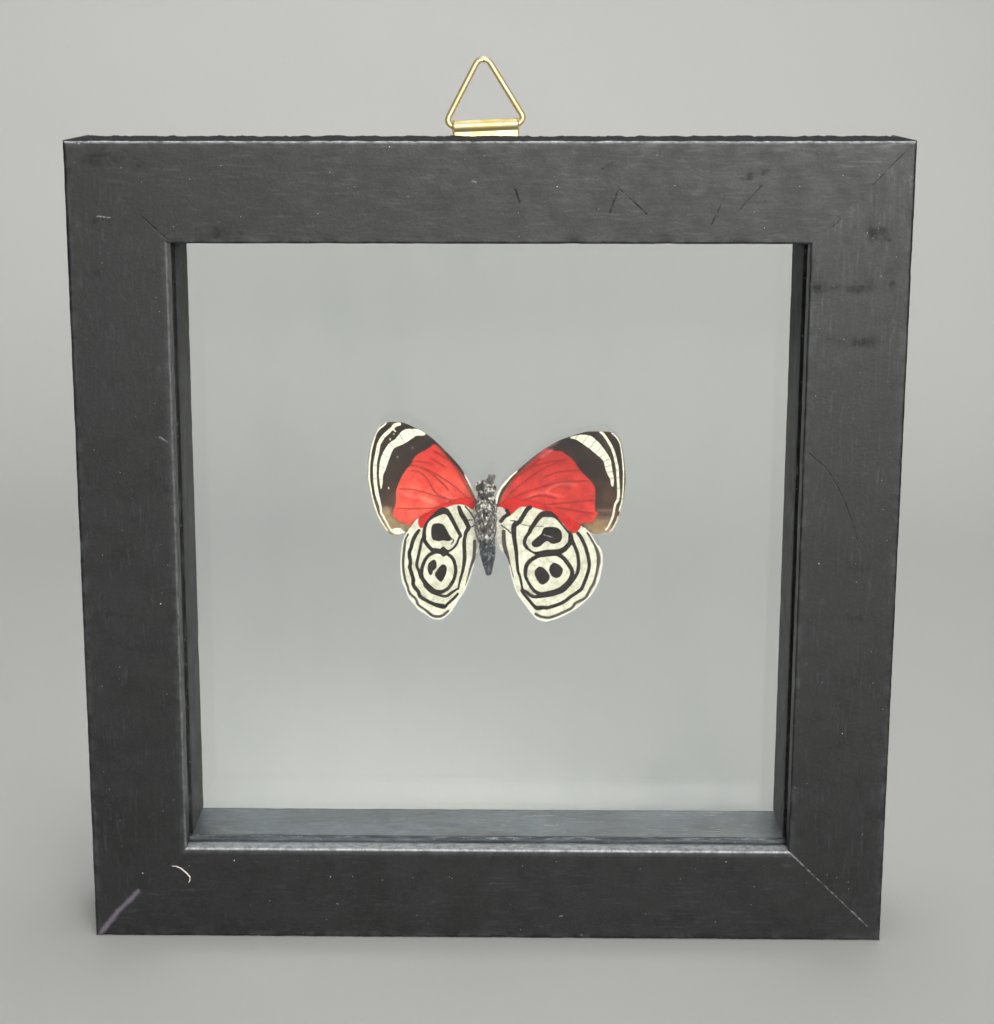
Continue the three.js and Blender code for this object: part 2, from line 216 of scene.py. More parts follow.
# %% Camera
CAMERA_PLACE = (2.05, -323.4, 76.8)
CAMERA_TURN = (76.704, 0.024, 1.025)
lens = bpy.data.cameras.new("camera")
lens.sensor_fit = "AUTO"
lens.sensor_width = 36
lens.lens = 75.34
lens.shift_x = 0.033
lens.shift_y = 0.0416
lens.clip_start = 0.01
lens.clip_end = 20
camera = bpy.data.objects.new("camera", lens)
camera.location = at(CAMERA_PLACE)[0]
camera.rotation_euler = [math.radians(turn) for turn in CAMERA_TURN]
bpy.context.scene.collection.objects.link(camera)
bpy.context.scene.camera = camera
print("camera at", [round(v, 3) for v in camera.location])

# %% [markdown]
# The object stands on a pale sweep, a sheet that curves up from floor to wall so that no corner
# shows behind the glass. A floor and a wall could be two planes, but their meeting line would
# cut through the window of the frame.

# %% Pale sweep
def sweep_line(front=-2.5, back=0.62, bend=0.35, height=1.5):
    """The sweep from the side as (y, z) points in metres: floor, bend and wall."""
    foot = back - bend
    floor = [(front + (foot - front) * i / 24, 0.0) for i in range(25)]
    turn = [math.pi / 2 * i / 16 for i in range(1, 17)]
    curve = [(foot + bend * math.sin(a), bend - bend * math.cos(a)) for a in turn]
    wall = [(back, bend + (height - bend) * i / 6) for i in range(1, 7)]
    return floor + curve + wall


def add_sweep(half_width=2.0):
    """A wide smooth sheet that follows the sweep's line."""
    line = sweep_line()
    across = np.linspace(-half_width, half_width, 9)
    points = [(x, y, z) for x in across for y, z in line]
    rows = len(line)
    faces = [(c * rows + r, (c + 1) * rows + r, (c + 1) * rows + r + 1, c * rows + r + 1)
             for c in range(len(across) - 1) for r in range(rows - 1)]
    mesh = bpy.data.meshes.new("pale_sweep")
    mesh.from_pydata(points, [], faces)
    mesh.polygons.foreach_set("use_smooth", [True] * len(faces))
    card = Finish("pale_card")
    card.set(Base_Color=card.mix(card.noise(60), "#cfceca", "#d3d2ce"), Roughness=0.85)
    card.bump(card.noise(0.8), 0.03)
    mesh.materials.append(card.material)
    sweep = bpy.data.objects.new("pale_sweep", mesh)
    bpy.context.scene.collection.objects.link(sweep)
    print("sweep", len(faces), "faces")


add_sweep()

# %% [markdown]
# Light comes from one wide softbox behind the camera and to its right, and one overhead. Small
# lamps would give hard glints on the glass. From there the wide one lays a sheen on satin paint
# that is brightest at the top of the frame and fades downwards. A grid narrows its beam, so
# that the floor, which the glass mirrors, stays dim. The one overhead picks out every edge that
# faces up. Places and sizes are in metres.

# %% Soft studio light
def add_softbox(name, place, target, width, height, watts, colour, spread=180):
    """A lamp with a rectangular face, which stands at a place and looks at its target."""
    lamp = bpy.data.lights.new(name, "AREA")
    lamp.spread = math.radians(spread)
    lamp.shape, lamp.size, lamp.size_y = "RECTANGLE", width, height
    lamp.energy, lamp.color = watts, colour
    softbox = bpy.data.objects.new(name, lamp)
    softbox.location = place
    aim = Vector(target) - Vector(place)
    softbox.rotation_euler = aim.to_track_quat("-Z", "Y").to_euler()
    bpy.context.scene.collection.objects.link(softbox)
    print(name, watts, "W")


add_softbox("key_softbox", place=(0.20, -0.87, 0.29), target=(0, 0, 0.085), width=0.8, height=0.4,
            watts=1.6, colour=(1, 0.985, 0.96), spread=60)
add_softbox("top_softbox", place=(0.05, 0.08, 0.85), target=(0, 0.08, 0), width=0.8, height=0.45,
            watts=2.6, colour=(0.95, 0.98, 1))
ROOM_COLOUR = (0.80, 0.83, 0.87, 1)
ROOM_LIGHT = 0.18
room = bpy.data.worlds.new("pale_room")
bpy.context.scene.world = room
room.use_nodes = True
room.node_tree.nodes["Background"].inputs["Color"].default_value = ROOM_COLOUR
room.node_tree.nodes["Background"].inputs["Strength"].default_value = ROOM_LIGHT
bpy.context.scene.view_settings.view_transform = "Standard"

# %% [markdown]
# Satin black paint covers the wood. It is not one black: it is cloudy, a little dusty, and
# scuffed in places where the frame was handled. A hand-painted picture could carry the marks.
# A small node group that measures the distance to a line draws them sharp at any zoom instead.

# %% A line drawn by nodes
def line_group():
    """Nodes that say how far inside a straight line of some width a place is."""
    group = bpy.data.node_groups.new("line_mark", "ShaderNodeTree")
    for name, kind in (("Place", "Vector"), ("Start", "Vector"), ("End", "Vector"), ("Width", "Float")):
        group.interface.new_socket(name, in_out="INPUT", socket_type="NodeSocket" + kind)
    group.interface.new_socket("Distance", in_out="OUTPUT", socket_type="NodeSocketFloat")
    inside, outside = group.nodes.new("NodeGroupInput"), group.nodes.new("NodeGroupOutput")
    link = group.links.new

    def step(kind, operation, *sources):
        node = group.nodes.new(kind)
        node.operation = operation
        for i, source in enumerate(sources):
            link(source, node.inputs["Scale"] if operation == "SCALE" and i else node.inputs[i])
        return node

    math_node, vector_node = "ShaderNodeMath", "ShaderNodeVectorMath"
    place, start, end, width = inside.outputs[:4]
    run = step(vector_node, "SUBTRACT", end, start).outputs[0]
    offset = step(vector_node, "SUBTRACT", place, start).outputs[0]
    along = step(vector_node, "DOT_PRODUCT", offset, run).outputs["Value"]
    whole = step(vector_node, "DOT_PRODUCT", run, run).outputs["Value"]
    share = step(math_node, "DIVIDE", along, whole)
    share.use_clamp = True
    nearest = step(vector_node, "SCALE", run, share.outputs[0]).outputs[0]
    gap = step(vector_node, "DISTANCE", offset, nearest).outputs["Value"]
    half = step(math_node, "MULTIPLY", width)
    half.inputs[1].default_value = 0.5
    link(step(math_node, "SUBTRACT", half.outputs[0], gap).outputs[0], outside.inputs[0])
    return group


LINE_MARK = line_group()


def drawn_lines(finish, place, lines):
    """How far inside the nearest of these lines a point is. A line is its points and width."""
    best = None
    for *points, width in lines:
        for (x0, z0), (x1, z1) in zip(points, points[1:]):
            node = finish.tree.nodes.new("ShaderNodeGroup")
            node.node_tree = LINE_MARK
            finish.join(place, node.inputs["Place"])
            node.inputs["Start"].default_value = (x0, 0, z0)
            node.inputs["End"].default_value = (x1, 0, z1)
            node.inputs["Width"].default_value = width
            found = node.outputs[0]
            best = found if best is None else finish.math("MAXIMUM", best, found)
    return best


print(len(LINE_MARK.nodes), "nodes measure a line")

# %% [markdown]
# These are the marks that years of handling left on the front of the frame: dark scuffs,
# fine scratches, one open joint with old filler in it and one with a pale worn edge. Each is a
# line from point to point, in millimetres right of and above the middle, with its width last.

# %% Marks on the front of the frame
SCUFFS = [
    [(-59.8, 60.5), (-56.5, 60.9), 1.5], [(-56.0, 60.7), (-52.4, 60.3), 1.1],
    [(-59.0, 52.1), (-54.9, 51.9), 0.6], [(-61.0, 43.8), (-58.8, 43.9), 0.6],
    [(-58.8, 35.8), (-55.2, 35.8), 0.5], [(-57.2, 27.4), (-56.0, 27.2), 0.9],
    [(-59.7, -9.5), (-55.0, -9.4), 0.7], [(57.2, 49.8), (59.6, 49.6), 0.9],
    [(38.5, 58.4), (41.0, 58.7), 0.5], [(49.5, 41.8), (60.2, 41.9), 0.4],
    [(51.6, 33.8), (60.0, 33.4), 0.5], [(56.2, -1.3), (58.7, -1.2), 0.9],
    [(56.0, -9.7), (57.8, -9.6), 0.6], [(-44.5, 50.2), (-38.0, 49.6), 0.6],
]
SCRATCHES = [
    [(16.8, 59.2), (18.5, 60.3), 0.3], [(18.1, 52.8), (19.4, 56.5), (23.6, 52.7), 0.28],
    [(35.2, 55.3), (33.4, 51.2), 0.25], [(40.6, 56.8), (37.3, 53.1), 0.2],
    [(4.0, 56.2), (4.7, 54.2), 0.4], [(-51.9, 52.2), (-48.2, 48.8), 0.3],
    [(61.5, 61.6), (57.0, 56.8), 0.12], [(53.0, 52.4), (51.4, 50.8), 0.16],
    [(-50.0, -50.0), (-56.2, -55.4), 0.3],
    [(49.1, 16.5), (52.0, 14.0), (54.5, 9.8), (56.2, 5.7), (57.6, 1.0), 0.22],
]
PALE_WEAR = [
    [(48.3, -48.3), (61.3, -60.9), 0.14], [(-58.6, 52.3), (-56.7, 52.1), 0.22],
    [(-50.4, 18.7), (-49.2, 18.0), 0.25], [(-2.4, 57.5), (-1.9, 57.4), 0.3],
    [(11.8, -59.5), (12.1, -59.5), 0.3], [(15.1, -62.8), (15.4, -62.8), 0.3],
]
FILLER = [[(-56.3, -55.7), (-59.5, -59.0), (-62.7, -63.0), 0.7]]
print(len(SCUFFS + SCRATCHES + PALE_WEAR + FILLER), "marks")

# %% [markdown]
# On the front the marks lie over the paint. Scuffs are ragged and patchy, scratches are thin and
# break off in places, and each mark is faded out where the front face ends. One recipe takes
# the colour and gives it back with the marks on it, so the paint recipe itself stays plain.

# %% Marks laid over the paint
def handled(paint, centred, colour):
    """The colour with the marks on it, how dull they make the paint, and how deep they cut."""
    ragged = paint.math("MULTIPLY", paint.math("SUBTRACT", paint.noise(1.6, 6, 0.75), 0.5), 2.0)
    patchy = paint.ramp(paint.noise(2.8, 6, 0.75), 0.36, 0.62)
    broken = paint.ramp(paint.noise(1.3, 3, 0.6), 0.35, 0.6, 0.15, 0.7)
    on_front = paint.ramp(paint.axis("Y"), FRONT / MM + 0.6, FRONT / MM + 0.3)

    def drawn(lines, raggedness, soft, shift=0.0):
        inside = paint.math("ADD", drawn_lines(paint, centred, lines),
                            paint.math("MULTIPLY", ragged, raggedness))
        return paint.math("MULTIPLY", paint.ramp(inside, shift - soft, shift + soft), on_front)

    scuffs = paint.math("MULTIPLY", drawn(SCUFFS, 2.2, 0.6, -0.45), patchy)
    scratches = paint.math("MULTIPLY", drawn(SCRATCHES, 0.18, 0.12, 0.03), broken)
    dull = paint.math("MAXIMUM", paint.math("MULTIPLY", scuffs, 0.6), scratches)
    colour = paint.mix(dull, colour, "#050506")
    pale = paint.math("MULTIPLY", drawn(PALE_WEAR, 0.45, 0.1), broken)
    colour = paint.mix(paint.math("MULTIPLY", pale, 0.75), colour, "#a3a4a2")
    filler = paint.math("MULTIPLY", drawn(FILLER, 0.55, 0.3), 0.75)
    return paint.mix(filler, colour, "#6d6570"), dull, scratches


def pale_top_and_painted_highlight(paint, grain, colour):
    """The colour made paler on the rough top, and a painted highlight in pale grey on the edges that
    shine.
    """
    colour = paint.mix(paint.math("MULTIPLY", paint.mark("rough_top"), 0.8), colour, "#1a1918")
    # The pale grey on the edges that shine is a painted highlight, broken up by grain and noise.
    edge_highlight_paint = paint.math("MULTIPLY", paint.mark("painted_highlight_edges"), paint.ramp(grain, 0.35, 0.6, 0.7, 1))
    edge_highlight_paint = paint.math("MULTIPLY", edge_highlight_paint, paint.ramp(paint.noise(1.2, 5, 0.7), 0.35, 0.6, 0.45, 1))
    return paint.mix(edge_highlight_paint, colour, "#d9dddf")


print("marks ready")

# %% [markdown]
# Paint that was brushed on keeps streaks along each rail, and dust gathers in them. The streaks
# are noise stretched eight times, and they turn at the mitres as the brush did. Real dust could
# be scattered as grains, but bright cells of noise look the same and cost nothing.

# %% Brush strokes and dust
def brushed(paint, centred):
    """Streaks that run across on the top and bottom rails and upright on the other two."""
    sideways = paint.math("ABSOLUTE", paint.vector("DOT_PRODUCT", centred, (1, 0, 0)))
    upwards = paint.math("ABSOLUTE", paint.vector("DOT_PRODUCT", centred, (0, 0, 1)))
    upright, level = [paint.noise(0.5, 5, 0.75, stretch) for stretch in ((1, 1, 0.12), (0.12, 1, 1))]
    return paint.mix(paint.math("GREATER_THAN", upwards, sideways), upright, level)


def dusted(paint, colour, brush, smudge, dust, flecked):
    """The colour with scattered specks, a film of dust in the streaks, and fine flecks."""
    specks = paint.math("MAXIMUM", paint.ramp(paint.cells(4.6), 0.026, 0.012),
                        paint.ramp(paint.cells(1.9), 0.045, 0.018, 0, 0.5))
    colour = paint.mix(specks, colour, "#d8d8d4")
    film = paint.math("MULTIPLY", paint.ramp(brush, 0.5, 0.75), paint.ramp(smudge, 0.4, 0.6, 0.2, 1))
    colour = paint.mix(paint.math("MULTIPLY", film, dust), colour, "#8b9498")
    return paint.mix(paint.ramp(paint.cells(0.8), 0.16, 0.05, 0, flecked), colour, "#a2a6a6")


print("brush and dust ready")

# %% [markdown]
# The paint recipe mixes a cloudy black, a fine brushed grain, white dust specks and the marks.
# The grain could be real geometry, but it is far finer than a hair, so bump does it. The same
# recipe, without the marks, paints the strips inside the box, and paints their arrises near black
# as shade. The bottom strip's lighter blue-grey is a painted reflection put into its colour.

# %% Satin black paint
def satin_black(name, dark, light, marks=False, rough=(0.38, 0.48), gloss=0.5, coat=0.0, dust=0.0):
    """Satin paint between two blacks. Dust and coat go from 0, for none, to 1."""
    paint = Finish(name)
    cloud = paint.noise(14, detail=5, rough=0.6)
    grain = paint.noise(0.5, detail=4, rough=0.7)
    smudge = paint.noise(5.0, detail=8, rough=0.75)
    flat = paint.vector("MULTIPLY", paint.place, (1, 0, 1))
    centred = paint.vector("SUBTRACT", flat, (0, 0, HALF))
    brush = brushed(paint, centred)

    colour = paint.fade(cloud, 0.3, 0.7, dark, light)
    colour = paint.mix(paint.ramp(grain, 0.45, 0.75, 0, 0.25), colour, "#2b2d2f")
    rubbed = paint.math("MULTIPLY", paint.mark("arris"), paint.ramp(paint.noise(1.8, 4), 0.42, 0.62))
    colour = paint.mix(paint.math("MULTIPLY", rubbed, 0.12), colour, "#6f7174")
    height = paint.math("ADD", paint.math("MULTIPLY", grain, 0.6), paint.math("MULTIPLY", smudge, 0.5))
    streaky = 0.03 + 0.12 * dust
    shine = paint.ramp(paint.noise(3.5, 5, 0.65), 0.3, 0.7, *rough)
    shine = paint.math("ADD", shine, paint.ramp(brush, 0.3, 0.7, streaky, -streaky))
    shine = paint.math("ADD", shine, paint.ramp(smudge, 0.32, 0.68, 0.02, -0.02))
    if marks:
        colour, dull, scratches = handled(paint, centred, colour)
        # A painted highlight goes on the edges that face up or to the light.
        colour = pale_top_and_painted_highlight(paint, grain, colour)
        height = paint.math("SUBTRACT", height, scratches)
        matt = paint.math("MULTIPLY", paint.math("MAXIMUM", dull, paint.mark("rough_top")), 0.4)
    else:
        # Without the marks, the arrises are painted near black as shade.
        painted_arris_shade = paint.ramp(paint.mark("arris"), 0.6, 0.95)
        colour = paint.mix(painted_arris_shade, colour, "#030303")
        matt = paint.math("MULTIPLY", painted_arris_shade, 0.5)
    colour = dusted(paint, colour, brush, smudge, dust, 0.04 if marks else 0.65)
    wiped = paint.ramp(smudge, 0.36, 0.6, 2 * coat, 0) if coat else 0.0
    paint.set(Base_Color=colour, Roughness=paint.math("ADD", shine, matt), Specular_IOR_Level=gloss,
              Coat_Weight=wiped, Coat_Roughness=0.22)
    paint.bump(height, 0.035)
    print(name, len(paint.tree.nodes), "nodes")
    return paint.material


frame_paint = satin_black("frame_paint", "#080909", "#101112", marks=True, gloss=0.48, dust=0.1)
wall_paint = satin_black("wall_paint", "#121211", "#1d1d1b", rough=(0.6, 0.75), gloss=0.2, dust=0.3)
# The bottom strip's lighter blue-grey colours are a painted reflection, a sheen put into the colour.
strip_paint_with_painted_sheen = satin_black("strip_paint_with_painted_sheen", "#1e262d", "#414d58", rough=(0.34, 0.42), gloss=0.7,
                          coat=0.25, dust=0.9)

# %% [markdown]
# A rail is a length of moulding: one section, drawn once and drawn out between two mitres. A
# cube with a bevel would be quicker, but its edges would all be alike. Here the section has
# rounded arrises, and each point is then pushed in a little, more on the edges that wear.

# %% The section of a moulding
ARC_STEPS = 6
ARC_SHOULDER = 0.08
ARRIS_REACH = 0.5


def rounded_section(corners, spacing):
    """Points round a section, and how much each belongs to an arris. A corner is (u, d, radius)."""
    points, arris = [], []
    count = len(corners)
    for i in range(count):
        here, radius = np.array(corners[i][:2], float), corners[i][2]
        before = np.array(corners[i - 1][:2], float)
        after = np.array(corners[(i + 1) % count][:2], float)
        back = (before - here) / np.linalg.norm(before - here)
        ahead = (after - here) / np.linalg.norm(after - here)
        for t in np.linspace(0, 1, ARC_STEPS):
            points.append((1 - t) ** 2 * (here + back * radius) + 2 * t * (1 - t) * here
                          + t * t * (here + ahead * radius))
            arris.append(1.0)
        end, start = points[-1], after - ahead * corners[(i + 1) % count][2]
        length = np.linalg.norm(start - end)
        steps = max(2, int(length / spacing))
        close = ARC_SHOULDER / length
        for share in np.r_[close, np.arange(1, steps) / steps, 1 - close]:
            points.append(end + (start - end) * share)
            arris.append(math.exp(-min(share, 1 - share) * length / ARRIS_REACH))
    return np.array(points), np.array(arris)


def section_inward(section):
    """The direction into the wood at each point of a section."""
    run = np.roll(section, -1, axis=0) - np.roll(section, 1, axis=0)
    run /= np.maximum(np.linalg.norm(run, axis=1)[:, None], 1e-9)
    turn = np.cross(section[:-1], section[1:]).sum()
    return np.column_stack([-run[:, 1], run[:, 0]]) * (1 if turn > 0 else -1)


print("an arris fades over", ARRIS_REACH, "mm")

# %% [markdown]
# Many pieces here are rows of points, one row after another: a moulding, a wire, a leg, a
# turned screw. Blender could skin such rows with its bridge tool. Writing the faces between
# them once, as a small function, keeps their order and number known.

# %% Faces between rows of points
def around(sides):
    """The cosine and sine of evenly spaced angles round a circle."""
    return [(math.cos(a), math.sin(a)) for a in np.linspace(0, 2 * math.pi, sides, endpoint=False)]


def faces_between(rows, sides):
    """Faces between rows of points, where each row goes round the piece with as many sides."""
    return [(s * sides + i, s * sides + (i + 1) % sides,
             (s + 1) * sides + (i + 1) % sides, (s + 1) * sides + i)
            for s in range(rows - 1) for i in range(sides)]


def end_faces(rows, sides):
    """One face over the first row of points and one over the last."""
    last = (rows - 1) * sides
    return [tuple(reversed(range(sides))), tuple(last + i for i in range(sides))]


def directions(line):
    """The direction of a line at each of its points."""
    run = np.gradient(line, axis=0)
    return run / np.linalg.norm(run, axis=1)[:, None]


def drawn_out(section, stations, place):
    """Points and faces of a section drawn through stations. place gives (x, depth, z)."""
    points = np.vstack([place(station, section) for station in stations])
    size = (len(stations), len(section))
    return points, faces_between(*size) + end_faces(*size)


print("a square rod has", len(faces_between(2, 4) + end_faces(2, 4)), "faces")

# %% [markdown]
# Wear is noise that only takes wood away, so the frame never grows past its true size. A bump
# map could fake it, but would leave the outline straight. The top of the frame is rougher than
# the rest, because paint and dust dried on it unsanded, and its back edge is ragged.

# %% Wear
PLAIN_WEAR = 0.02
ARRIS_WEAR = 0.10
TOP_LUMPS = 0.28
RAGGED_BACK = 0.75


def roughness_at(points, size):
    """Noise between -1 and 1 at each point, with lumps about size millimetres wide."""
    return np.array([noise.noise(Vector(p) / size) for p in points])


def worn(points, inward, arris, depths, rough_top):
    """Pushes points into the wood by hundredths of a millimetre, and up to 0.75 at the ragged edge."""
    amount = PLAIN_WEAR * (1 + roughness_at(points, 7))
    amount += ARRIS_WEAR * arris * np.clip(roughness_at(points, 2.6) - 0.12, 0, 1)
    if rough_top is not None:
        lumps = np.abs(roughness_at(points, 1.1)) + 0.6 * np.abs(roughness_at(points + 9, 0.5))
        ragged = np.clip((depths - 17) / 4, 0, 1) * np.clip(roughness_at(points, 1.6) + 0.25, 0, 1)
        amount += rough_top * (TOP_LUMPS * lumps + RAGGED_BACK * ragged)
    return points + inward * amount[:, None]


print("deepest plain wear", 2 * PLAIN_WEAR, "mm")

# %% [markdown]
# Only some edges shine. Those that face up catch the light from above: the front edge along the
# top, and the lip of the bottom rail. Their highlight is painted into the colour as a pale grey.
# They get a number of their own on the mesh, because paint that is only told where the arrises
# are would whiten all of them.

# %% Edges that shine
RAIL = HALF - LIP_EDGE
LIP_DEPTH = (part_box("front_glass")[0].y - FRONT) / MM - 0.3


def shining_edges(side, section):
    """The arrises that face up or to the light get a painted highlight: 1 on them, 0 elsewhere."""
    across, depth = section[:, 0], section[:, 1]
    front_arris = np.exp(-((np.hypot(across - 0.15, depth - 0.15) / 0.22) ** 2))
    lip_arris = np.exp(-((np.hypot(RAIL - 0.1 - across, depth - 0.1) / 0.24) ** 2))
    lip_face = np.clip((across - RAIL + 0.05) / 0.05, 0, 1) * (depth < LIP_DEPTH - 0.3)
    if side == "top":
        return front_arris
    if side == "bottom":
        return np.maximum(lip_arris * 0.95, lip_face * 0.6)
    if side == "left":
        return np.maximum(lip_arris * 0.2, lip_face * 0.04)
    return 0 * across


print("rail", round(RAIL, 1), "mm wide, lip", round(LIP_DEPTH, 1), "mm deep")

# %% [markdown]
# The four rails are one moulding, turned a quarter each time, so one function makes them all.
# Two saw cuts at 45 degrees make each mitre, and a gap finer than a hair stays open between
# them. Rows of points crowd at both ends, so that the mitres stay sharp while the rest of the
# rail is worn.

# %% Four worn rails
REBATE = 4.5
MITRE_GAP = 0.004
QUARTER_TURNS = {"top": 0, "right": 1, "bottom": 2, "left": 3}


def turned(x, depth, z, quarters):
    """Turns points about the middle of the frame, a quarter at a time."""
    for _ in range(quarters):
        x, z = z, -x
    return np.column_stack([x, depth, z])


def add_rail(side):
    """One rail. Its section starts at the outer front arris and goes round by the lip."""
    corners = [(0, 0, 0.55), (RAIL, 0, 0.4), (RAIL, LIP_DEPTH, 0.12),
               (RAIL - REBATE, LIP_DEPTH, 0.05), (RAIL - REBATE, DEPTH, 0.15), (0, DEPTH, 0.6)]
    section, arris = rounded_section(corners, 0.75)
    quarters = QUARTER_TURNS[side]

    def place(station, section):
        width = HALF - section[:, 0]
        return turned(station * (width - MITRE_GAP), section[:, 1], width, quarters)

    stations = np.r_[-1, -0.9998, np.linspace(-0.993, 0.993, 180), 0.9998, 1]
    points, faces = drawn_out(section, stations, place)
    into = section_inward(section)
    inward = turned(np.zeros(len(section)), into[:, 1], -into[:, 0], quarters)
    repeat = len(stations)
    top_face = np.tile(np.exp(-np.clip(section[:, 0], 0, 9) / 0.25), repeat)
    rough = top_face * (1.0 if side == "top" else 0.25)
    depths = np.tile(section[:, 1], repeat)
    points = worn(points, np.tile(inward, (repeat, 1)), np.tile(arris, repeat), depths, rough)
    rail = add_piece("painted_rail_" + side, points, faces, frame_paint, "frame_paint", ["rail_" + side])
    mark_points(rail, "arris", np.tile(arris, repeat))
    mark_points(rail, "rough_top", rough if side == "top" else 0 * rough)
    # Where the painted highlight goes on this rail.
    mark_points(rail, "painted_highlight_edges", np.tile(shining_edges(side, section), repeat))


for side in QUARTER_TURNS:
    add_rail(side)

# %% [markdown]
# Four painted strips hold the panes apart and make the inner walls of the box. They are plain
# battens. A bare box could stand for each, but its edges would be knife-sharp, so each is a
# small rounded section drawn out straight, worn like the rails.

# %% Spacer strips
def add_strip(side):
    """One batten, as long and thick as the box of its CAD node."""
    low, high = [from_middle(corner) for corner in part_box("spacer_" + side)]
    across = 0 if side in ("left", "right") else 2
    along = 2 - across
    corners = [(low[across], low[1], 0.25), (high[across], low[1], 0.25),
               (high[across], high[1], 0.25), (low[across], high[1], 0.25)]
    section, arris = rounded_section(corners, 0.8)
    into = section_inward(section)

    def place(station, section):
        points = np.zeros((len(section), 3))
        points[:, across], points[:, 1], points[:, along] = section[:, 0], section[:, 1], station
        return points

    stations = np.linspace(low[along], high[along], 131)
    points, faces = drawn_out(section, stations, place)
    inward = np.zeros((len(section), 3))
    inward[:, across], inward[:, 1] = into[:, 0], into[:, 1]
    repeat = len(stations)
    depths = np.tile(section[:, 1], repeat)
    points = worn(points, np.tile(inward, (repeat, 1)), np.tile(arris, repeat), depths, None)
    # The bottom strip gets the paint whose blue-grey colour is a painted reflection.
    paint = strip_paint_with_painted_sheen if side == "bottom" else wall_paint
    strip = add_piece("spacer_strip_" + side, points, faces, paint, "spacer_paint", ["spacer_" + side])
    mark_points(strip, "arris", np.tile(arris, repeat))


for side in QUARTER_TURNS:
    add_strip(side)

# %% [markdown]
# The panes are flat sheets, and the CAD already has their exact shape, so they stay and only
# get their finish. It is plain transmission. The index is a little under that of window glass,
# so the panes mirror slightly less of the floor. Faint smears come from a very slight change
# of roughness. Lamps shine through the panes without casting their shadow, which keeps the
# butterfly evenly lit.

# %% Clear panes
def clear_glass():
    """Clear glass with broad, faint smears."""
    pane = Finish("clear_pane")
    smear = pane.ramp(pane.noise(16, 4, 0.6, (1, 1, 0.5)), 0.5, 0.75)
    pane.set(Base_Color=pane.mix(smear, "#fcfefd", "#f8fbfa"), Transmission_Weight=1.0, IOR=1.45,
             Roughness=pane.ramp(smear, 0, 1, 0.0, 0.02))
    return pane.material


pane_finish = clear_glass()
for name in ("front_glass", "back_glass"):
    pane = frame["nodes"][name]
    pane.data.materials.clear()
    pane.data.materials.append(pane_finish)
    pane.visible_shadow = False
print("two clear panes")

# %% [markdown]
# The hanger is bright brass: a strap folded round the bar of a wire triangle, held by one
# screw. Brass is a metal, so its colour is in its reflection, and yellow paint would look like
# plastic. Fine scratches, slightly duller patches and a trace of tarnish keep it from looking
# new.

# %% Worn brass
def worn_brass():
    """Bright yellow brass, duller in patches, with a little brown tarnish and fine hairlines."""
    brass = Finish("worn_brass")
    patch = brass.noise(2.2, 4, 0.6)
    hairline = brass.noise(0.12, 2, 0.5, (1, 1, 0.12))
    colour = brass.fade(patch, 0.35, 0.7, "#f7e5b4", "#e8d193")
    colour = brass.mix(brass.ramp(brass.noise(0.7, 3), 0.62, 0.78, 0, 0.4), colour, "#a8905a")
    shine = brass.ramp(patch, 0.3, 0.7, 0.42, 0.55)
    brass.set(Base_Color=colour, Metallic=0.85, Roughness=shine)
    brass.bump(hairline, 0.012)
    return brass.material


brass_finish = worn_brass()
print(brass_finish.name, "ready")

# %% [markdown]
# The joint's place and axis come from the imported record, so the strap, the wire and the screw
# share one small set of axes: along the bar, back, and up. The whole hanger leans a little,
# because the strap has turned on its screw.

# %% Axes of the hanger
JOINT = frame["joints"][0]
BAR_MIDDLE = from_middle(JOINT["pos_m"])
ALONG_BAR = np.array(JOINT["axis"], float)
BACK = np.array([0.0, 1.0, 0.0])
UP = np.cross(ALONG_BAR, BACK)
WIRE = 0.5
SHEET = 0.35


def on_hanger(points):
    """Points given along the bar, back from it and up from it."""
    points = np.asarray(points, float)
    return BAR_MIDDLE + points @ np.array([ALONG_BAR, BACK, UP])


print("bar at", BAR_MIDDLE.round(2), "leaning", round(math.degrees(math.asin(ALONG_BAR[2])), 1), "degrees")

# %% [markdown]
# The ring is one wire bent to a triangle, with its two ends brought together at the top. A
# curve with a bevel would make it in one step. Sweeping a circle by hand lets the wire swell a
# hundredth of a millimetre at the butt joint, where a trace of solder holds it.

# %% Wire triangle
RING_HALF_WIDTH = 5.9
RING_HEIGHT = 10.15
RING_CORNER = 1.0
LEG_TILT = math.radians(30)
STEP = 0.3


def ring_line():
    """The middle of the wire as (along, up) points, round the triangle."""
    half_side = RING_HALF_WIDTH + (1 / math.tan(LEG_TILT) - 1) * RING_CORNER
    peak = half_side / math.tan(LEG_TILT)
    top_bend = peak - RING_HEIGHT
    corner_x = half_side - RING_CORNER / math.tan(LEG_TILT)
    bends = [((0, peak - 2 * top_bend), top_bend, 90, 30), ((corner_x, RING_CORNER), RING_CORNER, 30, -90),
             ((-corner_x, RING_CORNER), RING_CORNER, -90, -210),
             ((0, peak - 2 * top_bend), top_bend, -210, -270)]
    line = []
    for (x, z), radius, start, end in bends:
        for angle in np.radians(np.linspace(start, end, 14)):
            line.append((x + radius * math.cos(angle), z + radius * math.sin(angle)))
    return np.array(line)


def even_steps(line, spacing):
    """The same line with its points evenly spaced. It may have any number of columns."""
    gaps = np.linalg.norm(np.diff(line[:, :2], axis=0), axis=1)
    travelled = np.r_[0, np.cumsum(gaps)]
    even = np.linspace(0, travelled[-1], max(3, int(travelled[-1] / spacing) + 1))
    return np.column_stack([np.interp(even, travelled, column) for column in line.T])


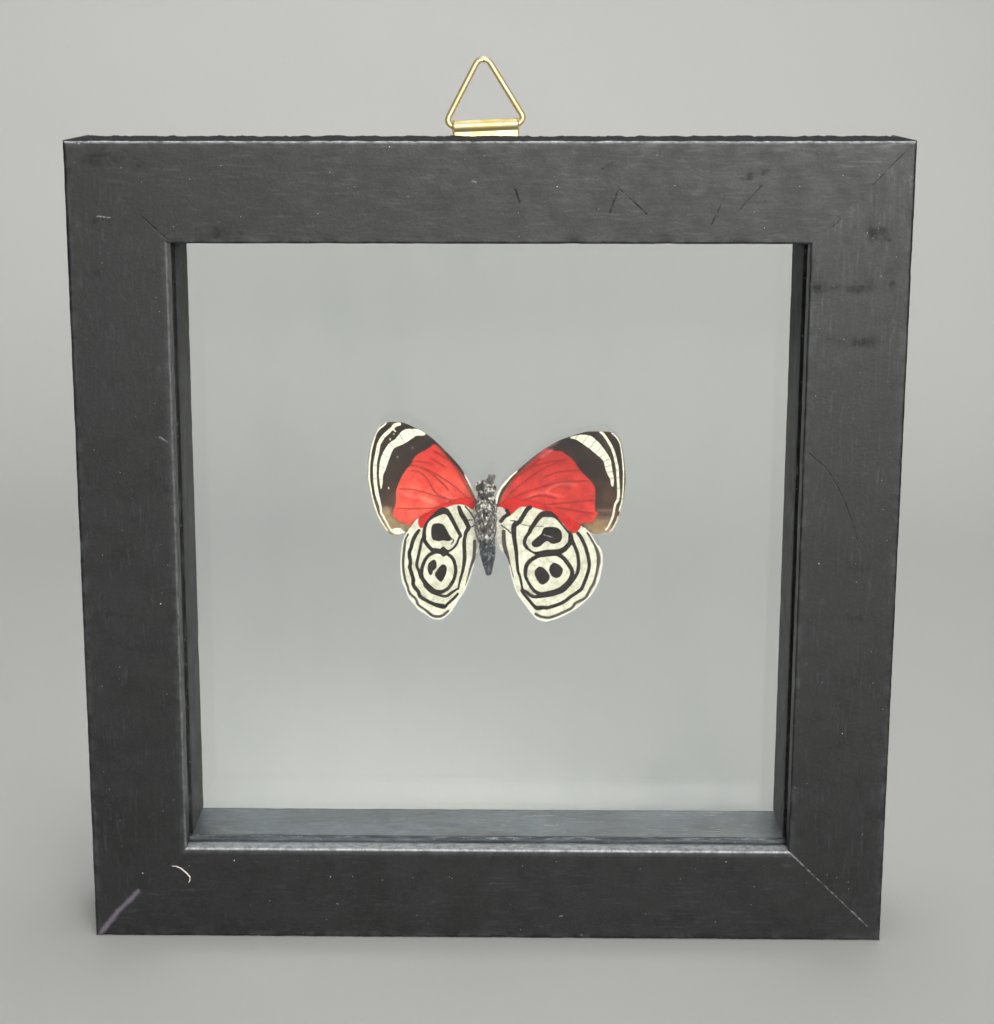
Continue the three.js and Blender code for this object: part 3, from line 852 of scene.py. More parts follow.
def add_ring():
    """The wire, as circles set along the triangle. It rides on the body that swings."""
    line = even_steps(ring_line(), STEP)
    run = directions(line)
    outward = np.column_stack([-run[:, 1], run[:, 0]])
    sides = 16
    points = []
    for i, ((x, z), (nx, nz)) in enumerate(zip(line, outward)):
        to_joint = min(i, len(line) - 1 - i) * STEP
        radius = WIRE * (0.985 + 0.02 * math.exp(-(to_joint / 0.45) ** 2))
        points += [(x + radius * across * nx, radius * back, z + radius * across * nz)
                   for across, back in around(sides)]
    last = (len(line) - 1) * sides
    butt_joint = [(last + i, last + (i + 1) % sides, (i + 1) % sides, i) for i in range(sides)]
    faces = faces_between(len(line), sides) + butt_joint
    add_piece("wire_ring", on_hanger(points), faces, brass_finish, "hanger_brass", ["hanger_ring"],
              body="ring")


add_ring()

# %% [markdown]
# The strap is thin sheet brass. It goes up behind the frame, round the bar and down again. A
# flat plate could be bent by a modifier. Rows of points laid along the folded line keep the
# sheet equally thick all the way, and let the lower corners of its leaves be rounded.

# %% Folded strap
STRAP_HALF_WIDTH = 5.25
STRAP_LENGTH = 11.5
STRAP_CORNER = 1.6


def strap_line():
    """The middle of the sheet as (back, up) points, from the front leaf round to the back one."""
    bend = WIRE + 0.1 + SHEET / 2
    leaf = SHEET / 2 + 0.01
    meet = math.asin(leaf / bend)
    straight = [(-leaf, z) for z in np.linspace(-STRAP_LENGTH, -1.6, 24)]
    eye = [(bend * math.cos(a), bend * math.sin(a))
           for a in np.linspace(-0.5 * math.pi - meet, -2.5 * math.pi + meet, 33)]
    return np.array(straight + eye + [(-y, z) for y, z in reversed(straight)])


def add_strap():
    """The folded sheet: an outer and an inner row of points across it at each step of its line."""
    line = even_steps(strap_line(), 0.22)
    run = directions(line)
    out = np.column_stack([-run[:, 1], run[:, 0]]) * (SHEET / 2)
    across = np.linspace(-1, 1, 25)
    rows = []
    for (back, up), (out_back, out_up) in zip(line, out):
        rise = max(0.0, -STRAP_LENGTH + STRAP_CORNER - up)
        corner = math.sqrt(max(STRAP_CORNER ** 2 - rise ** 2, 0))
        half_width = STRAP_HALF_WIDTH - STRAP_CORNER + corner
        for sign in (1, -1):
            rows.append([(share * half_width, back + sign * out_back, up + sign * out_up)
                         for share in across])
    points = [point for row in rows for point in row]
    wide, count = len(across), len(line)
    faces = []
    for s in range(count - 1):
        for c in range(wide - 1):
            upper, lower = 2 * s * wide + c, (2 * s + 1) * wide + c
            faces += [(upper, upper + 1, upper + 1 + 2 * wide, upper + 2 * wide),
                      (lower, lower + 2 * wide, lower + 1 + 2 * wide, lower + 1)]
        for c in (0, wide - 1):
            upper, lower = 2 * s * wide + c, (2 * s + 1) * wide + c
            side = (upper, lower, lower + 2 * wide, upper + 2 * wide)
            faces.append(tuple(reversed(side)) if c == 0 else side)
    for s in (0, count - 1):
        for c in range(wide - 1):
            upper, lower = 2 * s * wide + c, (2 * s + 1) * wide + c
            end = (upper, lower, lower + 1, upper + 1)
            faces.append(end if s == 0 else tuple(reversed(end)))
    add_piece("folded_strap", on_hanger(points), faces, brass_finish, "hanger_brass", ["hanger_strap"])


add_strap()

# %% [markdown]
# One round-headed screw holds the strap to the back of the top rail. Its head is a turned dome
# with a slot. The slot could be modelled face by face, but sinking the points of a fine dome
# that lie near its middle line is simpler.

# %% Slotted screw
SCREW_DROP = 7.0
HEAD_RADIUS = 2.2
HEAD_HEIGHT = 1.1
SHANK_RADIUS = 0.8
SCREW_LENGTH = 8.0
SLOT_HALF_WIDTH = 0.28
SLOT_DEPTH = 0.55
SLOT_TURN = math.radians(25)


def screw_profile():
    """The screw as (radius, height) steps: down the dome, in under it, and along the thread."""
    dome = [(share * HEAD_RADIUS, HEAD_HEIGHT * math.sqrt(1 - 0.85 * share ** 2.4))
            for share in np.linspace(0.01, 1, 34)]
    neck = [(HEAD_RADIUS * 0.97, 0.02), (SHANK_RADIUS, 0.0)]
    thread = []
    for i in range(24):
        depth = i / 23
        crest = 0.82 + 0.18 * (i % 2)
        point = 1 - 0.9 * max(0, depth - 0.7) / 0.3
        thread.append((SHANK_RADIUS * crest * point, -SCREW_LENGTH * depth))
    return dome + neck + thread


def add_screw():
    """The screw, with its head seated on the strap."""
    seat = SHEET + 0.3
    profile = screw_profile()
    sides = 72
    points = []
    for radius, height in profile:
        on_head = height > 0.2
        for cos, sin in around(sides):
            x, z = radius * cos, radius * sin
            from_slot = abs(x * math.cos(SLOT_TURN) + z * math.sin(SLOT_TURN))
            sink = SLOT_DEPTH if on_head and from_slot < SLOT_HALF_WIDTH else 0
            points.append((x, seat + max(height - sink, 0.1 if on_head else height), z - SCREW_DROP))
    faces = [(a, d, c, b) for a, b, c, d in faces_between(len(profile), sides)]
    faces += [tuple(reversed(end)) for end in end_faces(len(profile), sides)]
    add_piece("slotted_screw", on_hanger(points), faces, brass_finish, "hanger_brass", ["hanger_screw"])


add_screw()

# %% [markdown]
# A wing is a thin membrane with an outline, a gentle rise and a pattern. The pattern could be
# a picture, but then it would blur close up. Instead each wing gets a fine triangle mesh, and
# every point of it keeps how far inside or outside each marking it lies. The finish then turns
# those distances into crisp edges. First come the helpers that smooth a given line and
# measure the distance to it.

# %% Lines and distances
def smooth_line(knots, closed=False, spacing=0.15):
    """A smooth line through a few given points, evenly stepped. Further columns go along."""
    knots = np.asarray(knots, float)
    if closed:
        knots = np.vstack([knots[-1], knots, knots[0], knots[1]])
    else:
        knots = np.vstack([2 * knots[0] - knots[1], knots, 2 * knots[-1] - knots[-2]])
    t = np.linspace(0, 1, 8, endpoint=False)[:, None]
    parts = []
    for a, b, c, d in zip(knots, knots[1:], knots[2:], knots[3:]):
        parts.append(0.5 * (2 * b + (c - a) * t + (2 * a - 5 * b + 4 * c - d) * t ** 2
                            + (3 * b - a - 3 * c + d) * t ** 3))
    return even_steps(np.vstack(parts + [knots[-2][None]]), spacing)


def to_line(points, line):
    """Distance from each point to a line, and the line's third column at the nearest place."""
    start, run = line[:-1, :2], np.diff(line[:, :2], axis=0)
    whole = np.maximum((run ** 2).sum(1), 1e-12)
    offset = points[:, None, :] - start
    share = np.clip((offset * run).sum(2) / whole, 0, 1)
    gap = np.linalg.norm(offset - share[..., None] * run, axis=2)
    nearest = gap.argmin(1)
    rows = np.arange(len(points))
    width = np.zeros(len(points))
    if line.shape[1] > 2:
        width = line[nearest, 2] + share[rows, nearest] * np.diff(line[:, 2])[nearest]
    return gap[rows, nearest], width


def is_inside(points, loop):
    """Whether each point is inside a closed loop, by how often a line from it crosses the loop."""
    x, z = points[:, :1], points[:, 1:2]
    (x0, z0), (x1, z1) = loop[:-1, :2].T, loop[1:, :2].T
    crossing = (z0 > z) != (z1 > z)
    rise = np.where(z1 == z0, 1e-12, z1 - z0)
    return (crossing & (x < x0 + (z - z0) * (x1 - x0) / rise)).sum(1) % 2 == 1


FAR = -9.0


def stroke_field(points, strokes):
    """How far inside the nearest stroke each point is, negative outside."""
    best = np.full(len(points), FAR)
    for width, knots in strokes:
        knots = np.array([tuple(k) + ((width,) if len(k) == 2 else ()) for k in knots], float)
        gap, wide = to_line(points, smooth_line(knots))
        best = np.maximum(best, wide / 2 - gap)
    return best


def patch_field(points, patches):
    """How far inside the nearest closed patch each point is, negative outside."""
    best = np.full(len(points), FAR)
    for knots in patches:
        loop = smooth_line(knots, closed=True)
        gap, _ = to_line(points, loop)
        best = np.maximum(best, np.where(is_inside(points, loop), gap, -gap))
    return best


print("a stroke 1 mm wide reaches", stroke_field(np.zeros((1, 2)), [(1, [(-1, 0), (1, 0)])])[0], "mm")

# %% [markdown]
# These outlines run from the root of each wing along its leading edge to the tip, down the
# outer margin and back. The four wings differ, as a real specimen's do, so none is a mirrored
# copy of another.

# %% Wing outlines
OUTLINES = {
    "forewing_left": [
        (-1.8, 5.1), (-2.4, 7), (-4.4, 10.7), (-7, 13.7), (-9.7, 16.2), (-12.4, 17.65), (-13.7, 18.2),
        (-14.8, 18.35), (-16.3, 18.3), (-17.4, 17.7), (-18.4, 15.95), (-19.1, 13.5), (-19.5, 10.2),
        (-19.4, 8.5), (-18.95, 6.2), (-18.35, 4), (-17.5, 2), (-16.85, 1), (-16.2, 0), (-15.7, -0.15),
        (-15, -0.2), (-14.3, -0.1), (-13.4, 0.25), (-11, 1.1), (-7.5, 2.3), (-4.5, 3.2), (-2.1, 3.9)],
    "forewing_right": [
        (1.1, 5), (1.2, 6.5), (1.7, 7.6), (3, 9.3), (5, 11.05), (7.1, 12.85), (9.1, 14.3), (11.1, 15.45),
        (13, 16.2), (14.9, 16.8), (16.1, 17.05), (18.9, 17.05), (19.7, 16.9), (20.4, 16.4), (21, 15.7),
        (21.4, 14.6), (21.8, 12.2), (22.05, 9.2), (21.8, 6.1), (21.3, 4), (20.7, 1.9), (20, 0.8),
        (19.5, 0.4), (18.8, 0.4), (17.4, 0.05), (16.7, 0.3), (14.5, 1), (11, 2), (7, 2.9), (3.5, 3.6),
        (1.4, 3.9)],
    "hindwing_left": [
        (-2.2, 5.4), (-2.9, 6.15), (-3.9, 6.1), (-6, 5.5), (-8, 4.6), (-10.2, 3.35), (-11.2, 2.75),
        (-12, 2.05), (-13.2, 0.1), (-13.85, -1.5), (-14.15, -4.6), (-13.95, -7.6), (-13.4, -9),
        (-12.9, -10.4), (-11.95, -11.6), (-11.3, -12.5), (-10.35, -13.1), (-9, -14), (-8.1, -14.15),
        (-7.3, -13.85), (-6.1, -12.8), (-4.9, -10.8), (-4.1, -9.75), (-3.2, -7.5), (-2.4, -5),
        (-1.65, -2.9), (-1.2, -0.9), (-1.3, 0.2), (-2.2, 2)],
    "hindwing_right": [
        (1.5, 4.6), (2.2, 5.1), (3.1, 5.9), (4.4, 6.05), (5.3, 5.7), (7, 5.6), (9.5, 4.7), (11.9, 3.6),
        (14.6, 1.85), (16.3, 0.4), (17.5, -1.55), (18.1, -2.2), (18.5, -3.7), (18.35, -6), (17.6, -8.5),
        (16.5, -10.3), (15.1, -11.6), (14.2, -12.4), (12.8, -13.2), (11.6, -13.85), (9.6, -14.45),
        (8.7, -14.3), (7.8, -13.85), (6.3, -11.9), (4.8, -9.75), (4, -7.3), (3.35, -4.6), (2.65, -3.1),
        (2.1, -2.7), (1.5, -1), (1.4, 0.5), (1.4, 3)],
}
print(sum(len(outline) for outline in OUTLINES.values()), "outline points")

# %% [markdown]
# On a hindwing's underside dark rings and bands run over cream. Each stroke below is its usual
# width and the points it passes, and a third number changes the width at that point. The
# filled spots are closed patches. All are read off in millimetres, one wing at a time.

# %% Markings of the left hindwing
MARKS = {}


def count_marks(wing):
    """Prints how many markings a wing has."""
    print(wing, "has", sum(len(kind) for kind in MARKS[wing].values()), "markings")


MARKS["hindwing_left"] = {
    "dark": [
        (0.5, [(-8.4, -2.7), (-9.1, -2.5), (-9.7, -1.9), (-10.3, -1), (-10.4, -0.1), (-10.2, 1.3, 0.4),
            (-9.5, 2.5, 0.3), (-7.9, 3.7, 0.9), (-7, 3.9, 0.95), (-6.2, 3.1, 0.6), (-4.8, 0.4),
            (-4.5, -0.2, 0.4), (-4.8, -0.7, 0.25), (-5, -1.3, 0.25), (-5.4, -2, 0.25), (-6.1, -2.6, 0.25),
            (-6.6, -2.8, 0.3)]),
        (0.08, [(-5.8, -0.75), (-5.6, -1), (-6, -1.6)]),
        (0.45, [(-8.1, -2.8), (-8.7, -2.9), (-9.6, -3.4), (-10.2, -4.15), (-10.6, -5.05), (-10.8, -6),
            (-10.8, -6.9), (-10.4, -7.8, 0.6), (-9, -9.3, 0.7), (-7.9, -9.6, 0.6), (-7, -9.3),
            (-6.3, -8.7), (-5.65, -7.6), (-5.35, -6.6), (-5.3, -5.7), (-5.5, -4.6), (-5.9, -3.85),
            (-6.6, -3.25), (-7.3, -2.9), (-8.1, -2.8)]),
        (0.35, [(-10.3, -0.3, 0.5), (-10.75, -1), (-11.1, -2.5), (-11.5, -4.3), (-11.6, -5.2),
            (-11.25, -6.1), (-10.95, -7.2)]),
        (0.35, [(-9.75, -9.15), (-8.7, -9.8), (-7, -10.3), (-5.8, -9.6), (-5.05, -9.1, 0.2)]),
        (0.5, [(-11.2, 0.7, 0.4), (-11.7, 0), (-12.2, -1), (-12.5, -2.2), (-12.8, -3.1), (-12.6, -4.6),
            (-12.7, -5.5), (-12.2, -7.3), (-12.2, -8.2), (-11.9, -8.85), (-11.4, -9.45), (-10.95, -10.4),
            (-9.1, -11.5), (-7.6, -11.95, 0.7), (-7, -12), (-6.6, -11.6, 0.35), (-5.35, -10.4, 0.35),
            (-4.95, -9.9, 0.3)]),
        (0.5, [(-4.75, 4.5), (-4.35, 3.4, 0.65), (-3.9, 2.7, 0.65), (-3.5, 1.9, 0.65), (-3.2, 1.15, 0.6),
            (-3.65, 0.25, 0.45), (-3.75, -0.4, 0.4), (-3.9, -1.1), (-3.85, -4.15), (-4.2, -6.3, 0.35),
            (-4.5, -7.3, 0.3), (-4.9, -9.15, 0.15)]),
        (0.13, [(-3.7, 4.6), (-2.9, 3.7), (-2.2, 2.5)]), (0.08, [(-3.1, 1.1), (-1.9, 1.6)]),
        (0.05, [(-3.6, 2.4), (-2.4, 2.4)]),
    ],
    "dark_patches": [
        [(-9.2, -2.4), (-8.6, -2.3), (-7.8, -2.4), (-7.3, -2), (-6.9, -2.4), (-6.4, -2.8), (-6.8, -3.4),
            (-7.3, -3.6), (-7.8, -3.2), (-8.6, -3.1), (-9.2, -3)],
        [(-9.1, 1.3), (-8.8, 1.7), (-7.9, 1.8), (-7.2, 1.45), (-6.4, 0), (-5.95, -0.7), (-6.4, -1.05),
            (-7.3, -0.9), (-7.9, -1.05), (-8.7, -0.9), (-9.1, -0.5), (-9.2, 0.4)],
        [(-8.75, -4.2), (-8.45, -4.75), (-8.5, -5.5), (-9, -6), (-9.2, -6.6), (-9.5, -6.65), (-9.75, -6),
            (-9.75, -5.2), (-9.45, -4.6)],
        [(-7.25, -5), (-6.8, -5.5), (-6.85, -6.3), (-7.1, -7), (-7.6, -7.8), (-8.1, -7.5), (-8.6, -6.6),
            (-7.8, -5.3)],
    ],
    "brown": [
        (0.25, [(-13, 0), (-13.4, -0.7), (-13.5, -1.6), (-13.8, -4.6), (-13.6, -6.9), (-13.4, -7.8),
            (-13.1, -8.55), (-12.9, -9.45), (-12.5, -10.05), (-11.95, -10.5), (-11.6, -11.1),
            (-11.4, -11.7), (-10.2, -12.6), (-9, -13.55, 0.3), (-7.6, -13.6, 0.3), (-6.55, -12.8, 0.25)]),
        (0.5, [(-10.3, -8.4), (-9.3, -9.4), (-8, -9.9)]),
        (0.35, [(-2.2, -1.1), (-2.3, -3.7), (-2.7, -5.2), (-3.5, -8.5)]),
    ],
    "red": [
        [(-11.2, 2.75), (-11.1, 1.2), (-10.3, 1.35), (-9, 3.3), (-8, 3.95), (-5.5, 4.9), (-3.7, 4.8),
            (-2.5, 4.1), (-2.2, 5.5), (-3.2, 6.6), (-6, 6.1), (-9, 4.7)],
    ],
    "pale": [
        (0.35, [(-1.15, 0.3), (-1.2, -0.8), (-1.8, -3)]),
    ],
    "vein": [
        (0.1, [(-8, -4.2), (-7.7, -5.2)]), (0.1, [(-9.9, -6.6), (-10.6, -7.4)]),
        (0.1, [(-11.7, -2.4), (-13.2, -3.6)]), (0.1, [(-11.4, -7.4), (-13, -8.6)]),
        (0.1, [(-9.4, -9.9), (-10.6, -12.2)]), (0.1, [(-7.3, -10.6), (-7.5, -13.2)]),
    ],
    "dusk": [
        (1.4, [(-1.6, 1.5), (-1.5, 0.2), (-1.6, -1.5), (-2.1, -3.5), (-2.9, -5.8, 0.8)]),
    ],
}
count_marks("hindwing_left")

# %% [markdown]
# The right hindwing carries the same rings and bands, but not as a mirror image: its rings are
# rounder, and a little dusk shows at the root. Mirroring the left one would save half the
# numbers and lose what makes it this specimen.

# %% Markings of the right hindwing
MARKS["hindwing_right"] = {
    "dark": [
        (0.65, [(13.35, 0), (13.35, -1.1), (13, -1.7), (12.2, -2.5, 0.8), (11.3, -2.85, 0.8),
            (9.5, -2.95, 0.8), (8.6, -3.1, 0.7), (7.8, -3.1, 0.45), (7.05, -2.8, 0.2), (6.3, -2.2, 0.4),
            (5.9, -1.4, 0.45), (6.1, -0.5, 0.45), (6.6, 0.25, 0.5), (7.05, 1.15, 0.6), (8.3, 3, 0.7),
            (9, 3.4, 0.9), (9.9, 3.4, 0.9), (10.7, 3.1, 0.5), (11.45, 2.35, 0.2), (12.8, 0.7, 0.25),
            (13.3, 0.25, 0.5)]),
        (0.55, [(7.8, -3.7), (6.9, -4.3), (6.3, -5.05), (6.1, -6.1), (6.2, -7.2, 0.4), (7.2, -9, 0.4),
            (8.1, -9.75), (9, -9.9), (11.3, -9.3), (12.4, -8.55), (13.1, -7.8), (13.6, -6.9),
            (13.6, -5.8), (12.5, -4.15), (11.6, -3.4), (10.7, -3.2), (8.3, -3.5), (7.8, -3.7)]),
        (0.45, [(13.45, -0.3, 0.6), (13.65, -1, 0.5), (14.5, -3.1), (14.7, -5.4), (14.2, -7),
            (12.8, -8.85), (12.2, -9.4), (11.3, -9.75), (10.1, -10.1), (7.8, -10.4), (7.05, -10.2),
            (6.45, -9.75), (5.85, -9.3, 0.3)]),
        (0.45, [(14.55, 0.25), (15.1, -0.5), (15.9, -2.3), (16.4, -4.45), (16.4, -5.5), (16.15, -6.6),
            (15.5, -8.4), (15.1, -9.15), (13.4, -10.4), (12.7, -11), (11.6, -11.6), (9.8, -12.2, 0.5),
            (8.9, -12.2, 0.6), (8.1, -12.3, 0.65), (7.7, -12.1, 0.5), (7.05, -11.4, 0.4),
            (5.85, -9.9, 0.4), (5.5, -9.3, 0.35)]),
        (0.6, [(6.75, 4.5), (6.3, 4.2), (5.1, 2.2), (4.3, 1.6, 0.75), (4.15, 0.85, 0.7), (4.25, -0.7),
            (4.55, -2.6, 0.5), (4.85, -6, 0.35), (5.2, -7, 0.3), (5.6, -9, 0.25)]),
        (0.5, [(2.05, 2.2), (2.7, 3), (3.3, 3.4), (3, 4)]), (0.08, [(2.05, 1.6), (3, 0.9), (3.95, 0)]),
        (0.06, [(3.6, 2.35), (4.55, 2.2)]), (0, [(5.2, 1.75), (6.9, 1.45), (9, 1.4)]),
    ],
    "dark_patches": [
        [(9.2, 1.15), (10.85, 1.2), (11.6, 0.8), (11.9, 0), (11.75, -1), (10.5, -1.45), (9.5, -1),
            (8.3, -1.95), (7.5, -2), (7.1, -1.6), (7.4, -1), (8.6, 0.1)],
        [(8.3, -5.4), (8.9, -5.5), (9.5, -6.1), (10, -6.9), (9.8, -7.6), (9.2, -8.2), (8.6, -8.2),
            (8.05, -7.5), (7.7, -6.7), (7.7, -6)],
        [(10.8, -4.75), (11.45, -5), (12.05, -5.6), (12.1, -6.1), (11.75, -6.9), (11.15, -7.15),
            (10.5, -6.9), (10.1, -6.3), (10, -5.6), (10.3, -5)],
    ],
    "brown": [
        (0.3, [(16.15, 0.4), (17.4, -1.9), (17.95, -3.85, 0.45), (17.7, -6.1), (17.2, -8.1),
            (16.75, -8.85), (15.85, -10.5), (14.3, -11.4), (13.9, -12), (13.1, -12.6), (10.4, -13.8),
            (9.5, -13.9), (8.6, -13.7), (7.8, -13.3)]),
        (0.4, [(14, -7), (13.2, -8.2), (12.2, -9.1)]),
        (0.5, [(2.5, 0.5), (2.6, -1.5), (3, -3.2), (3.4, -4.8, 0.3), (4, -7, 0.2)]),
    ],
    "red": [
        [(3.3, 3), (3.9, 3.4), (4.8, 4.3), (5.5, 4.6), (7.1, 4.5), (9.2, 3.9), (10.1, 3.6), (11, 2.8),
            (11.8, 2.2), (13.1, 0.7), (13.6, 0.3), (14.2, 0.3), (14.6, 0.7), (14.9, 2), (12, 4.2),
            (9.5, 5.4), (7, 6.3), (4.4, 6.6), (1.2, 6), (1.3, 4.7), (2.3, 4.5), (2.9, 3.7)],
    ],
    "pale": [
        (0.06, [(9, 0), (10.7, -0.5)]),
    ],
    "vein": [
        (0.1, [(9.3, -1.2), (10.2, -2.2)]), (0.1, [(8.8, -4.2), (10.9, -4.7)]),
        (0.1, [(12.1, -5.6), (13, -6.5)]), (0.14, [(14.5, -2), (16, -4)]),
        (0.1, [(11.9, -0.4), (13, -1)]), (0.1, [(9.9, -7), (10.8, -8.9)]),
        (0.1, [(15.1, -7), (17.2, -9)]), (0.1, [(12.6, -9.9), (13.8, -11.6)]),
        (0.1, [(9.4, -10.7), (9.8, -13.4)]),
    ],
    "dusk": [
        (1.3, [(2.1, 1.2), (2.2, -2.2), (3, -4.2, 0.8)]), (1.5, [(2, 4.6), (2, 2.8)]),
    ],
}
count_marks("hindwing_right")

# %% [markdown]
# The forewings are plainer: a red field with a few folds in it, two cream bands round the tip
# on a blackish ground, a fine pale line inside the margin, and a tan corner.

# %% Markings of the left forewing
MARKS["forewing_left"] = {
    "red": [
        [(-2.1, 4.6), (-2.9, 7.2), (-4.9, 10.6), (-7.2, 13.2), (-8.7, 14.7), (-9.8, 14.05),
            (-11.85, 12.8), (-12.5, 11.5), (-13.5, 10.4), (-14.3, 8.9), (-14.9, 7.3), (-15.05, 5),
            (-15.45, 3.9), (-15.5, 3), (-15, 2.5), (-14.3, 2), (-13.4, 1.85), (-12.3, 1.2), (-8, 1.5),
            (-3, 3)],
    ],
    "pale": [
        (0.55, [(-14.4, 18), (-15.1, 17.8), (-15.5, 17.3), (-16.7, 16.2), (-17.3, 15.4), (-17.7, 14.6),
            (-17.9, 13.5), (-18.3, 11.35), (-18.3, 8.65), (-18, 6.5), (-17.5, 4.5, 0.35),
            (-17.4, 3.5, 0.3), (-17.1, 3, 0.3), (-15.9, 0.7, 0.25)]),
        (0.26, [(-16.5, 18.1), (-17.9, 16.8), (-18.6, 14.9), (-19.1, 12.4), (-19.25, 9.2), (-18.85, 6.3),
            (-18.2, 3.9), (-18.05, 3.3), (-17.7, 2.7), (-17.45, 2.1), (-16.5, 0.6)]),
        (0.42, [(-3.9, 9.8, 0.2), (-2.95, 8.1), (-1.95, 5.9, 0.4)]), (0.2, [(-15.3, 17.1), (-15, 16.8)]),
        (0.2, [(-15.3, 16.4), (-15.25, 16.3)]), (0.2, [(-15.9, 15.6), (-15.85, 15.5)]),
        (0.16, [(-12.35, 14.2), (-12.3, 14.15)]), (0.16, [(-14.7, 12.7), (-14.65, 12.6)]),
        (0.2, [(-16.2, 7.65), (-16.15, 7.5)]),
    ],
    "pale_patches": [
        [(-10.2, 16.4), (-11, 17.1), (-11.7, 17.2), (-12.9, 17.2), (-13.9, 16.9), (-15.1, 15.5),
            (-15.9, 15), (-16.9, 13.5), (-17.5, 11.9), (-17.7, 9.6), (-17.6, 8.65), (-17.4, 7.4),
            (-17.15, 8.4), (-17.05, 9.7), (-16.7, 10.5), (-15.6, 13.5), (-15.1, 14.2), (-14.15, 14.6),
            (-13.2, 15.1), (-11.7, 16.1), (-10.8, 16.15)],
        [(-16, 0.7), (-14.6, 1), (-14, 0.6), (-13.6, 0.3), (-14.4, 0), (-15.2, 0)],
    ],
    "vein": [
        (0.13, [(-11.7, 15.7), (-12.5, 17.5)]), (0.13, [(-13.6, 14.9), (-14.8, 17.2)]),
        (0.13, [(-15.3, 14.2), (-17, 16)]), (0.12, [(-16.2, 12.6), (-18.4, 13.8)]),
        (0.12, [(-16.8, 10.9), (-19.1, 11.5)]), (0.12, [(-17.3, 9), (-19.2, 9.2)]),
    ],
    "brown": [
        (0.3, [(-10.5, 16.8), (-8.6, 15.3), (-7, 13.5)]), (0.4, [(-3.5, 8), (-2.6, 6)]),
    ],
    "tan": [
        [(-17.3, 4), (-16.2, 4.4), (-15.6, 3.4), (-14.5, 2), (-13, 1.7), (-12.8, 0.2), (-14.3, -0.6),
            (-16.2, -0.6), (-17.6, 1.2)],
    ],
    "crease": [
        (0.13, [(-3, 5.6), (-6.5, 8.6), (-10.5, 10.9), (-13, 11.4)]),
        (0.13, [(-3.2, 5), (-7.5, 6), (-11.5, 7.2), (-14.4, 7.5)]),
        (0.13, [(-3.6, 4.6), (-12, 4.2), (-14.8, 4.3)]),
        (0.16, [(-12.4, 10.5), (-11.4, 10.3), (-10.6, 9.8), (-9.9, 9), (-9, 7.4), (-8.3, 6.6)]),
        (0.18, [(-10.4, 10.7), (-9.3, 10.1), (-8.4, 9.2), (-7.4, 8.3), (-6.6, 7.3)]),
        (0.3, [(-8.8, 13.6), (-7.5, 12.9), (-6.4, 12.2), (-5.2, 10.7), (-3.4, 7.5)]),
        (0.16, [(-9.3, 12.5), (-7, 11)]), (0.25, [(-8, 6.3), (-7, 6), (-6.3, 5.6)]),
        (0.12, [(-12.5, 12), (-10.5, 11.9), (-9, 11.5)]),
    ],
    "sheen": [
        (0.25, [(-7.6, 6.6), (-6.4, 5.95)]), (0.7, [(-13.5, 6.5), (-11, 6), (-8.5, 5)]),
    ],
}
count_marks("forewing_left")

# %% [markdown]
# The right forewing has a shorter pale band, crossed by many fine veins, and rubbed scales
# along its leading edge. It is written out like the left one.

